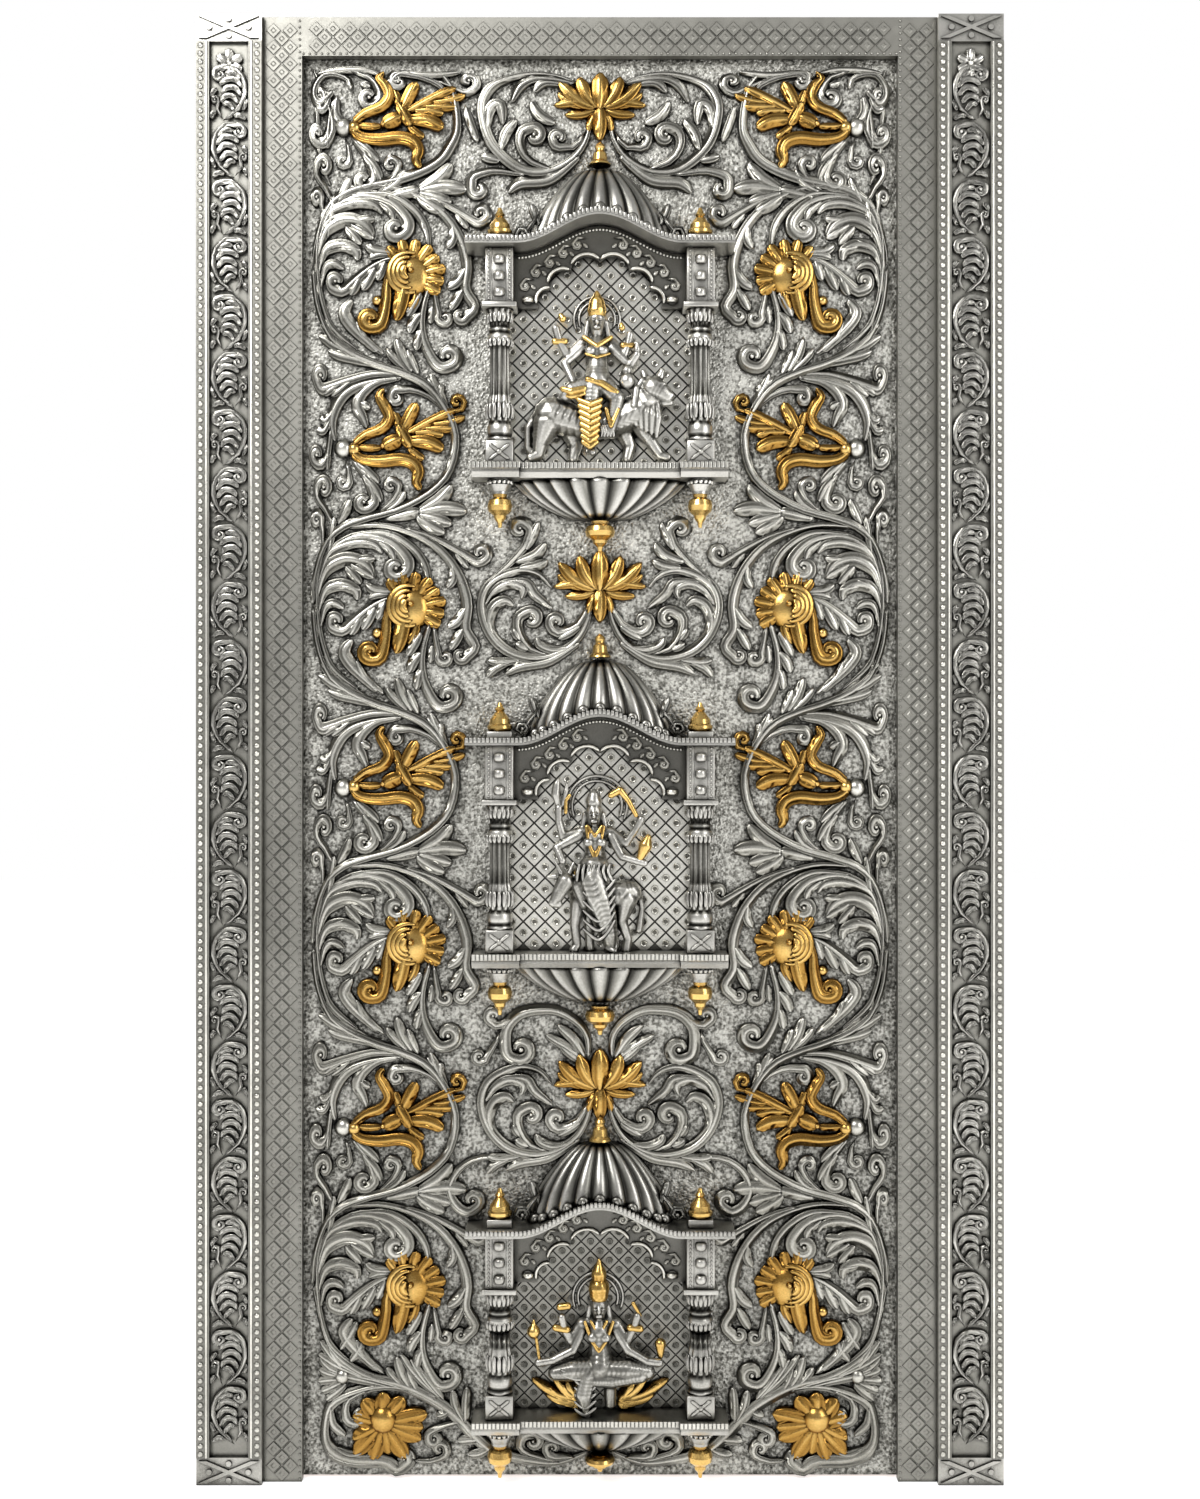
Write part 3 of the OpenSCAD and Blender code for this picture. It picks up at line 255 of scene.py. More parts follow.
def finishPiece(name, heap, look, body, replaced=(), smooth=True):
    mesh = heapMesh(name, heap)
    mesh.polygons.foreach_set("use_smooth", [smooth] * len(mesh.polygons))
    mesh.materials.append(looks[look])
    piece = bpy.data.objects.new(name, mesh)
    bpy.context.scene.collection.objects.link(piece)
    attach(piece, body)
    if replaced:
        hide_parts(*replaced)
    print(name, len(mesh.polygons), "faces", flush=True)


def curvePoint(line, s):  # smooth curve through the line's points
    i = min(int(s), len(line) - 2)
    t = s - i
    a, b, c, d = (line[max(0, min(len(line) - 1, k))] for k in (i - 1, i, i + 1, i + 2))
    return 0.5 * (2 * b + (c - a) * t + (2 * a - 5 * b + 4 * c - d) * t * t + (3 * b - a - 3 * c + d) * t ** 3)


def rolled(line, eye):  # the extra points of a leaf that rolls up round its eye
    centre, r = Vector(eye[:2]), eye[2]
    ahead, to = line[-1] - line[-2], centre - line[-1]
    turn = 1 if ahead.x * to.y - ahead.y * to.x > 0 else -1
    start = math.atan2(-to.y, -to.x)
    far = to.length
    rolls = []
    for k in range(1, 9):
        reach = far + (r * 0.9 - far) * min(1, k / 2) if k < 3 else r * (0.9 - 0.075 * (k - 2))
        angle = start + turn * k * math.radians(48)
        rolls.append(centre + reach * Vector((math.cos(angle), math.sin(angle))))
    return rolls


leafStyle = dict(around=14, top=11, unitsPerRing=4.4, root=0.45, tip=0.22, groove=0.36, sink=0.0004, full=1.28)


def blade(heap, points, width, rise, at=drawn, y=None, flip=1, eye=None, tip=None, root=None, groove=None, fine=1):
    around, top = (leafStyle["around"], leafStyle["top"]) if fine == 1 else (10, 8)
    y = groundY if y is None else y
    tip = (0.5 if eye else leafStyle["tip"]) if tip is None else tip
    root = leafStyle["root"] if root is None else root
    groove = leafStyle["groove"] if groove is None else groove
    line = [Vector(p) for p in points]
    if len(line) == 2:
        line.insert(1, (line[0] + line[1]) / 2)
    line += rolled(line, eye) if eye else []
    length = sum((b - a).length for a, b in zip(line, line[1:]))
    along = max(8, min(46, int(length / leafStyle["unitsPerRing"] * fine)))
    spots = [curvePoint(line, k * (len(line) - 1) / along) for k in range(along + 1)]
    part = fresh()
    layer = part.verts.layers.float["open"]
    bmesh.ops.create_uvsphere(part, u_segments=around, v_segments=along, radius=1)
    for v in part.verts:
        ring = round((math.asin(max(-1, min(1, v.co.z))) / math.pi + 0.5) * along)
        t = ring / along
        heading = (spots[min(along, ring + 1)] - spots[max(0, ring - 1)]).normalized()
        swell = root + (1 - root) * min(1, t / 0.35) if t < 0.6 else tip + (1 - tip) * (1 - ((t - 0.6) / 0.4) ** 2)
        turn = round(math.atan2(v.co.y, v.co.x) / math.tau * around) % around
        pole = ring in (0, along)
        side = math.cos(math.pi * turn / top) if turn <= top else 0.5 * (2 * (turn - top) - (around - top))
        side = 0 if pole else side
        up = turn <= top or pole
        spot = spots[ring] + Vector((-heading.y, heading.x)) * side * width / 2 * swell
        flutes = math.exp(-((side - 0.3) / 0.2) ** 2) + math.exp(-((side + 0.36) / 0.2) ** 2)
        crown = max(0, 1 - side * side) ** 0.42 * (1 - groove * flutes)
        lift = rise * (0.62 + 0.38 * swell) * crown if up else -leafStyle["sink"]
        x, z = at(*spot)
        v.co = (flip * x, y - lift, z)
        # leaf edges dark as patina, the crest painted bright as a painted highlight
        v[layer] = 0.2 + 0.8 * min(1, crown * 1.05) ** 1.2 if up else 0.12
    pour(part, heap)
    if eye:
        unit = (Vector(at(1, 0)) - Vector(at(0, 0))).length
        ball(heap, eye[:2], eye[2] * 0.5, rise, at, y, flip, unit)


def ball(heap, place, r, rise, at=drawn, y=None, flip=1, unit=None):
    y = groundY if y is None else y
    unit = view["unit"] if unit is None else unit
    x, z = at(*place)
    part = fresh()
    layer = part.verts.layers.float["open"]
    bmesh.ops.create_uvsphere(part, u_segments=12, v_segments=8, radius=1)
    for v in part.verts:
        # the foot dark as patina, the front painted bright as a painted highlight
        v[layer] = 0.2 + 0.8 * max(0, v.co.y) ** 0.6
        v.co = (flip * (x + v.co.x * r * unit), y - max(-leafStyle["sink"], v.co.y * rise), z + v.co.z * r * unit)
    pour(part, heap)


def arc(cx, cy, r, degrees):  # places on a circle
    return [(cx + r * math.cos(math.radians(a)), cy + r * math.sin(math.radians(a))) for a in degrees]


def ray(cx, cy, angle, reaches):  # places on a line out from a middle
    return [(cx + r * math.cos(math.radians(angle)), cy + r * math.sin(math.radians(angle))) for r in reaches]


def raised(y):  # keeps the lowest leaves clear of the leaf's bottom edge
    return y - max(0, y - 1390) * 0.13


# rows: width, points, and the eye where a leaf rolls up
def leaves(heap, rows, rise, shift=0, keep=None, flips=(1, -1), **style):
    for row in rows:
        points = [(x, raised(y + shift)) for x, y in row[1]]
        if keep and not all(keep[0] <= y <= keep[1] for x, y in points):
            continue
        eye = (row[2][0], raised(row[2][1] + shift), row[2][2]) if len(row) > 2 else None
        for flip in flips:
            blade(heap, points, row[0] * leafStyle["full"], rise * (0.75 if row[0] < 7.5 else 1), flip=flip, eye=eye, **style)


def box(heap, low, high, bevel=0.0):  # a bevelled block between two corners
    low, high = Vector(low), Vector(high)
    part = fresh()
    bmesh.ops.create_cube(part, size=1, matrix=Matrix.Translation((low + high) / 2) @ Matrix.Diagonal((*(high - low), 1)))
    if bevel:
        bmesh.ops.bevel(part, geom=part.edges[:], offset=bevel, affect="EDGES", segments=2, profile=0.5, material=-1)
    pour(part, heap)


def bead(heap, x, y, z, r):  # a low round bead facing the front
    part = fresh()
    bmesh.ops.create_uvsphere(part, u_segments=8, v_segments=5, radius=r, matrix=Matrix.Translation((x, y, z)))
    pour(part, heap)


def frustum(heap, x, y, z, sides, foot, top, high, dish=0.0):  # a low stud whose flat top faces the front
    part = fresh()
    turn = Matrix.Translation((x, y - high / 2, z)) @ Matrix.Rotation(math.pi / 2, 4, "X")
    bmesh.ops.create_cone(part, cap_ends=True, segments=sides, radius1=foot, radius2=top, depth=high, matrix=turn)
    if dish:
        lid = min(part.faces, key=lambda f: f.calc_center_median().y)
        bmesh.ops.inset_region(part, faces=[lid], thickness=dish, depth=-0.0007)
    pour(part, heap)


def turned(heap, profile, x, y, z, flutes=(), steps=32):  # profile: radius and height pairs, closed on the axis
    part = fresh()
    chain = [part.verts.new((r, 0, h)) for r, h in profile]
    edges = [part.edges.new(pair) for pair in zip(chain, chain[1:])]
    bmesh.ops.spin(part, geom=chain + edges, cent=(0, 0, 0), axis=(0, 0, 1), angle=math.tau, steps=steps, use_merge=True)
    bmesh.ops.remove_doubles(part, verts=part.verts[:], dist=1e-6)
    for v in part.verts:
        for low, high, count, deep in flutes:
            if low < v.co.z < high:
                scale = 1 - deep * (0.5 + 0.5 * math.cos(count * math.atan2(v.co.y, v.co.x)))
                v.co.x, v.co.y = v.co.x * scale, v.co.y * scale
        v.co += Vector((x, y, z))
    pour(part, heap)


# Side fields: one repeat is a bud bay and a lily bay
repeat = dict(bud=605, units=(-340, 0, 340, 680), rise=0.0115, vineRise=0.0135, vineWidth=10, topLily=-322)
vine = [(303, 0), (308, 35), (322, 63), (345, 85), (375, 99), (400, 107), (425, 119), (443, 140), (455, 170), (450, 203),
        (432, 225), (400, 243), (365, 253), (340, 263), (318, 285), (305, 315), (303, 340)]
budBay = [
    (8, [(322, 548), (311, 575), (309, 605), (316, 640), (332, 668), (358, 690)]),
    (10, [(345, 527), (380, 525), (412, 533), (438, 548), (457, 572), (467, 602), (465, 628)], (461, 655, 6)),
    (10, [(467, 605), (458, 620), (447, 628)]), (9, [(463, 628), (456, 640), (450, 650)]),
    (9, [(452, 565), (453, 578), (447, 588)]), (9, [(400, 527), (430, 536), (455, 549), (470, 558)], (481, 553, 8)),
    (7, [(455, 552), (468, 568)]), (8, [(350, 535), (385, 533), (410, 546), (425, 566), (429, 590)]),
    (13, [(311, 585), (328, 553), (357, 536), (388, 541), (405, 557)], (396, 568, 9)),
    (8, [(378, 541), (390, 550), (394, 560)]), (10, [(309, 592), (326, 556), (352, 543), (373, 544), (382, 553)]),
    (14, [(308, 603), (321, 573), (343, 559), (363, 563), (373, 576)]), (9, [(355, 560), (375, 558)]),
    (9, [(350, 564), (374, 578)]), (9, [(345, 566), (361, 584)]),
    (12, [(311, 615), (321, 592), (340, 584), (355, 590), (357, 600)]), (8, [(328, 588), (343, 580)]),
    (8, [(340, 586), (361, 590)]), (9, [(315, 628), (322, 608), (334, 603), (344, 609)]),
    (11, [(402, 595), (382, 600), (366, 610), (352, 622)], (335, 621, 8)), (10, [(360, 615), (350, 635)]),
    (10, [(375, 606), (362, 630)]), (10, [(385, 600), (377, 620)]), (9, [(395, 592), (375, 590), (365, 584)]),
    (8, [(390, 594), (378, 594), (368, 598)]), (11, [(430, 622), (422, 650), (422, 676), (431, 697)], (448, 696, 11)),
    (10, [(421, 632), (413, 645), (407, 656)]), (10, [(421, 652), (413, 662), (409, 673)]),
    (9, [(422, 668), (418, 678), (416, 690)]), (8, [(433, 620), (435, 640), (438, 652)], (445, 658, 6)),
    (7, [(432, 645), (430, 663)]), (12, [(378, 692), (354, 668), (344, 652), (352, 639)]),
    (8, [(384, 694), (364, 678), (356, 660)]), (10, [(372, 702), (340, 684), (322, 668), (314, 662)]),
    (10, [(375, 703), (345, 690), (325, 680), (311, 675)]), (10, [(392, 708), (362, 700), (340, 695), (326, 690)]),
    (8, [(408, 712), (394, 698), (386, 688)]), (10, [(412, 712), (402, 695), (396, 677)]),
    (8, [(418, 714), (411, 700), (407, 689)])]
lilyBay = [
    (12, [(405, 374), (375, 373), (350, 379), (330, 386)], (315, 375, 9)), (9, [(340, 384), (320, 394)]),
    (9, [(350, 381), (331, 396)]), (11, [(402, 377), (372, 381), (350, 389), (337, 403), (331, 422), (335, 441)]),
    (9, [(333, 412), (322, 420), (313, 417)]), (9, [(330, 418), (320, 430), (307, 429)]),
    (12, [(331, 425), (328, 442), (325, 456)], (309, 455, 8)), (8, [(327, 450), (325, 470)]),
    (11, [(398, 378), (378, 381), (363, 391), (357, 405), (362, 416), (367, 428)]), (8, [(360, 402), (370, 408)]),
    (9, [(447, 412), (432, 397), (414, 389), (402, 389)], (396, 397, 6)), (9, [(448, 412), (441, 397), (434, 384), (430, 372)]),
    (8, [(440, 394), (440, 383)]), (8, [(436, 388), (427, 378)]), (7, [(344, 458), (348, 470), (349, 478)], (343, 482, 6)),
    (11, [(350, 458), (364, 474), (372, 492)], (364, 502, 8)), (9, [(356, 462), (368, 472), (379, 483)]),
    (9, [(362, 474), (374, 488), (381, 502)]), (8, [(374, 515), (389, 504), (397, 492)], (391, 485, 6)),
    (8, [(380, 514), (397, 504), (405, 490)]), (11, [(385, 519), (410, 513), (420, 511)]),
    (13, [(418, 511), (438, 500), (452, 484)]), (14, [(418, 512), (445, 508), (467, 511)]),
    (12, [(418, 514), (436, 519), (452, 524)]), (12, [(416, 516), (430, 526), (445, 533)]),
    (11, [(335, 526), (322, 509), (310, 498)], (320, 487, 9)), (9, [(338, 524), (345, 511), (350, 498)]),
    (10, [(318, 560), (319, 535), (316, 524)], (309, 519, 7)), (8, [(326, 560), (331, 535), (334, 516)])]
topField = [
    (10, [(350, 90), (348, 76), (335, 68), (318, 70), (306, 85)], (315, 95, 9)), (9, [(310, 68), (340, 63), (365, 63), (385, 70)]),
    (10, [(350, 65), (368, 72), (378, 88)], (369, 97, 9)), (10, [(322, 98), (330, 112), (332, 130)], (312, 134, 9)),
    (9, [(337, 95), (335, 112), (345, 125)]), (9, [(452, 105), (445, 90), (430, 77), (412, 70)], (398, 80, 8)),
    (9, [(400, 65), (430, 70), (462, 65)]), (9, [(430, 75), (455, 88), (466, 92)], (469, 78, 8)),
    (10, [(440, 66), (452, 90), (457, 125), (450, 145), (435, 163), (400, 178), (350, 190), (322, 212), (306, 245), (303, 265)]),
    (8, [(465, 105), (470, 122), (478, 142)]), (7, [(304, 62), (312, 85), (309, 120), (316, 160), (330, 185)])]
bottomField = [
    (11, [(303, 1285), (318, 1330), (340, 1360), (370, 1378), (400, 1385), (430, 1400), (455, 1420), (475, 1445), (495, 1462),
          (530, 1472), (560, 1474), (592, 1460)]),
    (10, [(346, 1374), (336, 1360), (327, 1346)]), (10, [(342, 1375), (325, 1366), (313, 1358)]),
    (10, [(340, 1377), (325, 1373), (312, 1370)]), (10, [(341, 1380), (325, 1380), (310, 1382)]),
    (10, [(343, 1382), (328, 1388), (315, 1392)]), (10, [(346, 1384), (334, 1394), (323, 1403)]),
    (9, [(400, 1388), (375, 1380), (352, 1376)]), (9, [(340, 1350), (350, 1336), (357, 1322)]),
    (9, [(350, 1362), (358, 1352), (362, 1342)]), (8, [(440, 1400), (418, 1378), (400, 1355)]),
    (9, [(440, 1400), (424, 1380), (410, 1360)]), (8, [(444, 1402), (432, 1386), (420, 1370)]),
    (9, [(465, 1430), (456, 1410), (452, 1390)]), (9, [(465, 1430), (466, 1408), (467, 1387)]),
    (13, [(440, 1400), (410, 1390), (380, 1387), (350, 1395), (330, 1408), (322, 1430), (323, 1450), (335, 1465), (355, 1472),
          (384, 1473)], (404, 1470, 6)),
    (10, [(370, 1390), (350, 1400), (345, 1412)], (358, 1422, 8)), (9, [(330, 1410), (332, 1430), (346, 1444)]),
    (9, [(335, 1458), (350, 1466), (366, 1462)]), (9, [(470, 1425), (450, 1430), (434, 1437)], (434, 1447, 7)),
    (8, [(412, 1470), (425, 1474), (440, 1470)], (440, 1458, 7)), (9, [(448, 1416), (436, 1421)]),
    (10, [(480, 1448), (468, 1448), (457, 1450)]), (9, [(490, 1458), (478, 1464), (467, 1465)]),
    (11, [(560, 1474), (530, 1465), (520, 1456)], (533, 1449, 8)), (9, [(575, 1468), (560, 1468)], (552, 1457, 7))]

for sideName, flip in (("left", 1), ("right", -1)):
    heap = []
    for shift in repeat["units"]:
        if shift < repeat["units"][-1]:
            blade(heap, [(x, y + shift + repeat["bud"]) for x, y in vine], repeat["vineWidth"], repeat["vineRise"],
                  flip=flip, tip=0.9, root=0.9)
        leaves(heap, budBay, repeat["rise"], shift, flips=(flip,))
    leaves(heap, lilyBay, repeat["rise"], repeat["topLily"], keep=(66, 400), flips=(flip,))
    for shift in repeat["units"][1:]:
        leaves(heap, lilyBay, repeat["rise"], shift, flips=(flip,))
        ball(heap, (343, 448 + shift), 10, 0.014, flip=flip)
    leaves(heap, topField + bottomField, repeat["rise"], flips=(flip,))
    ball(heap, (343, 126), 10, 0.014, flip=flip)
    ball(heap, (342, 1377), 9, 0.014, flip=flip)
    base = ("base_scroll",) if flip == 1 else ()
    finishPiece("side_leaves_" + sideName, heap, "silver", "leaf", ("side_scroll_" + sideName,) + base)

# Centre fields, drawn on the left and mirrored
centreField = [
    (10, [(590, 600), (588, 618), (578, 638), (560, 652), (535, 658), (508, 651), (490, 633), (482, 608), (487, 588), (502, 576),
          (522, 570), (540, 575), (552, 588)]),
    (9, [(500, 582), (525, 582), (535, 595), (553, 609)]), (10, [(485, 605), (495, 590), (510, 583), (523, 588), (521, 599)]),
    (11, [(500, 648), (489, 625), (493, 607), (505, 600), (514, 606)]), (11, [(550, 655), (530, 648), (519, 632)], (531, 618, 9)),
    (9, [(520, 640), (513, 628)]), (9, [(528, 650), (515, 643)]), (11, [(588, 605), (580, 622), (568, 630)], (556, 622, 7)),
    (9, [(580, 626), (558, 639)]), (9, [(575, 645), (555, 650), (540, 645), (536, 637)]),
    (11, [(580, 642), (550, 660), (520, 666), (505, 674)]), (9, [(520, 660), (500, 662), (487, 660)]),
    (9, [(510, 662), (495, 668), (487, 677)])]
sprouts = [
    (10, [(485, 585), (505, 568), (522, 550), (528, 540)], (520, 528, 8)), (9, [(526, 550), (532, 536), (539, 521)]),
    (10, [(515, 562), (535, 555), (546, 542)]), (10, [(518, 568), (535, 566), (548, 560)])]
crests = [
    (11, [(588, 1058), (588, 1040), (580, 1025), (560, 1012), (540, 1010), (520, 1014), (507, 1027), (505, 1042)], (521, 1050, 12)),
    (9, [(530, 1012), (510, 1020)], (493, 1016, 7)), (10, [(585, 1058), (574, 1040), (557, 1025)]),
    (9, [(583, 1060), (565, 1046), (545, 1035)]), (9, [(580, 1062), (560, 1045)]),
    (8, [(500, 1030), (495, 1045), (488, 1054)], (479, 1057, 6)),
    (10, [(500, 1157), (475, 1160), (457, 1172), (449, 1190), (456, 1206)], (473, 1201, 9))]
topCentre = [
    (10, [(590, 120), (585, 140), (572, 158), (550, 170), (525, 170), (505, 158), (490, 140), (483, 118), (483, 100), (492, 85),
          (510, 74), (535, 68), (560, 72), (577, 82)]),
    (10, [(575, 82), (555, 76), (535, 75), (520, 85), (511, 102)]), (9, [(570, 85), (550, 80), (540, 83), (533, 92)]),
    (11, [(487, 130), (490, 108), (500, 104), (503, 125)]), (10, [(500, 150), (506, 132), (517, 118)]),
    (10, [(530, 100), (540, 115), (556, 123)]), (11, [(555, 170), (530, 160), (520, 145)], (534, 134, 9)),
    (9, [(586, 130), (576, 145), (566, 146)], (558, 137, 7)), (11, [(580, 155), (550, 178), (520, 182), (508, 192)]),
    (10, [(530, 175), (500, 170), (486, 171)], (478, 188, 8)), (9, [(500, 160), (480, 155)])]
heap = []
leaves(heap, centreField + sprouts, repeat["rise"])
leaves(heap, centreField, repeat["rise"], 497)
leaves(heap, crests + topCentre, repeat["rise"])
finishPiece("centre_leaves", heap, "silver", "leaf", tuple("centre_scroll_" + n for n in ("lower", "middle", "upper")))

# Gilt flowers
lily = [
    (13, [(353, 445), (365, 435), (382, 428), (389, 417), (384, 405), (379, 396), (384, 388)], 0.016),
    (15, [(352, 452), (362, 459), (380, 461), (400, 459), (413, 463), (418, 472), (416, 482), (421, 490)], 0.016),
    (9, [(358, 447), (370, 448), (382, 447)], 0.012), (18, [(383, 447), (392, 442), (402, 438)], 0.016),
    (14, [(398, 425), (404, 436), (411, 448)], 0.018), (11, [(394, 412), (397, 420), (400, 428)], 0.013),
    (15, [(402, 432), (409, 417), (417, 402)], 0.015), (11, [(406, 434), (425, 424), (445, 414), (456, 410)], 0.015),
    (10, [(430, 424), (448, 422), (466, 416)], 0.012), (11, [(424, 428), (442, 428), (457, 428)], 0.012),
    (12, [(414, 432), (430, 432), (444, 435)], 0.012), (16, [(408, 441), (428, 442), (444, 450)], 0.014),
    (10, [(408, 447), (417, 455), (424, 459)], 0.012)]
heap = []
for shift in (-322, 0, 338, 680):
    for flip in (1, -1):
        for width, points, rise in lily:
            blade(heap, [(x, y + shift) for x, y in points], width, rise, flip=flip, root=0.7, tip=0.35)
        ball(heap, (354, 449 + shift), 8, 0.015, flip=flip)
        ball(heap, (383, 446 + shift), 4, 0.016, flip=flip)
        if shift != -322:
            blade(heap, [(450, 412 + shift), (462, 409 + shift)], 8, 0.014, flip=flip, eye=(457, 401 + shift, 6))
finishPiece("gilt_lily_flowers", heap, "gilt", "leaf", ("gilt_lilies",))

bud = dict(centre=(410, 608), r=23, rise=0.019)
heap = []
for shift in (-333, 0, 338, 680):
    for flip in (1, -1):
        cx, cy = bud["centre"][0], bud["centre"][1] + shift
        ball(heap, (cx, cy), bud["r"], bud["rise"] * 0.82, flip=flip)
        for k in range(4):  # petals folded one over the next round the boss
            fold = arc(cx, cy - 2, 20 - 4.5 * k, range(70 + 8 * k, 300 - 12 * k, 22))
            blade(heap, fold, 9, 0.0068, y=groundY - 0.0075 - 0.0026 * k, flip=flip, root=0.3, tip=0.3, groove=0.15)
        ball(heap, (cx + 1, cy - 4), 4.5, 0.0232, flip=flip)
        for a in (-128, -104, -80, -56, -34, -12, 10, 30):  # crown of petals
            blade(heap, ray(cx, cy, a, (15, 25, 35 if a % 4 else 37)), 14, 0.0125, flip=flip, root=0.6, tip=0.55)
        blade(heap, [(400, 592 + shift), (388, 610 + shift), (386, 632 + shift), (383, 648 + shift)], 17, 0.016, flip=flip,
              eye=(370, 652 + shift, 8))
        blade(heap, [(406, 606 + shift), (402, 630 + shift), (396, 654 + shift)], 18, 0.0165, flip=flip)
        blade(heap, [(416, 618 + shift), (414, 632 + shift), (408, 644 + shift)], 12, 0.012, flip=flip)
        ball(heap, (377, 633 + shift), 6, 0.011, flip=flip)
finishPiece("gilt_bud_flowers", heap, "gilt", "leaf", ("gilt_buds",))

lotus = [(15, [(594, 591), (578, 583), (553, 587)], 0.012), (19, [(596, 590), (576, 580), (558, 562)], 0.0145),
         (14, [(594, 588), (572, 584), (557, 574)], 0.011), (20, [(597, 590), (585, 574), (579, 555)], 0.0165),
         (25, [(600, 592), (600, 572), (600, 549)], 0.0195), (13, [(596, 591), (582, 595), (564, 596)], 0.011),
         (20, [(600, 587), (600, 603), (600, 623)], 0.017), (11, [(598, 592), (591, 602), (588, 614)], 0.012)]
heap = []
for shift in (-482, 0, 499):
    for flip in (1, -1):
        for width, points, rise in lotus:
            if flip == 1 or points[0][0] != 600:
                blade(heap, [(x, y + shift) for x, y in points], width * 0.84, rise, flip=flip, root=0.3, tip=0.02, groove=0.3)
finishPiece("gilt_lotus_flowers", heap, "gilt", "leaf", ("gilt_lotuses",))

sunflower = dict(middle=(383, 1424), boss=(383, 1420), bossR=16, bossRise=0.02, petalWidth=21, petalRise=0.014, tips=(
    (352, 1416), (362, 1399), (383, 1392), (404, 1397), (428, 1414), (424, 1428), (422, 1440), (407, 1460), (389, 1455),
    (372, 1462), (353, 1456), (352, 1440)))
heap = []
for flip in (1, -1):
    cx, cy = sunflower["middle"]
    for x, y in sunflower["tips"]:
        blade(heap, [(cx, cy), ((cx + x) / 2, (cy + y) / 2), (x, y)], sunflower["petalWidth"], sunflower["petalRise"],
              flip=flip, root=0.5, tip=0.1)
    ball(heap, sunflower["boss"], sunflower["bossR"], sunflower["bossRise"], flip=flip)
finishPiece("gilt_sun_flowers", heap, "gilt", "leaf", ("gilt_sunflowers",))


# Shrines
shrines = dict(lower=dict(lattice=0.0277, sheet="strip"), middle=dict(lattice=0.0321, sheet="silver"),
               upper=dict(lattice=0.0321, sheet="silver"))
eave = dict(thick=0.008, rise=0.041, bend=0.118, steps=40, dentils=32, dentilHalf=0.0021, finialX=0.145)
dome = dict(lobes=11, bulge=0.13, reach=0.104, deep=0.064, topReach=0.019, onion=1.0)
bowl = dict(lobes=11, bulge=0.15, endReach=0.022)
column = dict(bracket=0.079, plinth=0.034, plinthHalf=0.02, cap=0.007, capHalf=0.025, borderX=0.015)
arch = dict(proud=0.018, beads=24, leaves=((0.03, 0.018), (0.05, 0.006), (0.07, -0.008), (0.09, -0.022), (0.106, -0.042)),
            foils=((0.019, -0.026, 0.024, 140, 20), (0.054, -0.044, 0.021, 120, 0), (0.075, -0.068, 0.017, 100, -20)))
shelf = dict(dentils=31, stepX=0.116, step=0.007, collarR=0.0165)


# half-round lobed shell from foot(x) up or down to top
def lobedShell(heap, foot, top, reach, deep, endReach, lobes, bulge, onion=0.0):
    part = fresh()
    layer = part.verts.layers.float["open"]
    bmesh.ops.create_uvsphere(part, u_segments=lobes * 16, v_segments=20, radius=1)
    for v in part.verts:
        angle = math.atan2(-v.co.y, v.co.x)
        t = max(0, math.asin(max(-1, min(1, v.co.z))) / math.pi * 2)
        side, out = math.cos(angle), max(0, math.sin(angle))
        bulb = 0.75 * (1 - t * t) ** 0.8 + 0.125 * (1 + math.cos(math.pi * t))
        ogee = (1 - onion) * (1 - t) ** 0.75 * (1 + 0.35 * t) + onion * bulb
        ridge = abs(math.sin(lobes * angle))
        # grooves between lobes dark as patina, lobe ridges painted bright as a painted highlight
        v[layer] = 0.25 + 0.75 * ridge ** 0.7
        swell = 1 - bulge * (1 - ridge ** 0.8)
        swell = 0 if abs(v.co.z) > 0.999 else swell  # poles are closed
        x = side * (endReach + (reach - endReach) * ogee) * swell
        y = out * (endReach + (deep - endReach) * ogee) * swell
        low = foot(x)
        v.co = (x, groundY - y, low + (top - low) * t)
    bmesh.ops.remove_doubles(part, verts=part.verts[:], dist=1e-6)
    pour(part, heap)


def eaveLift(x):  # how far the eave's line rises over the arch
    return eave["rise"] * (1 + math.cos(math.pi * x / eave["bend"])) / 2 if abs(x) < eave["bend"] else 0


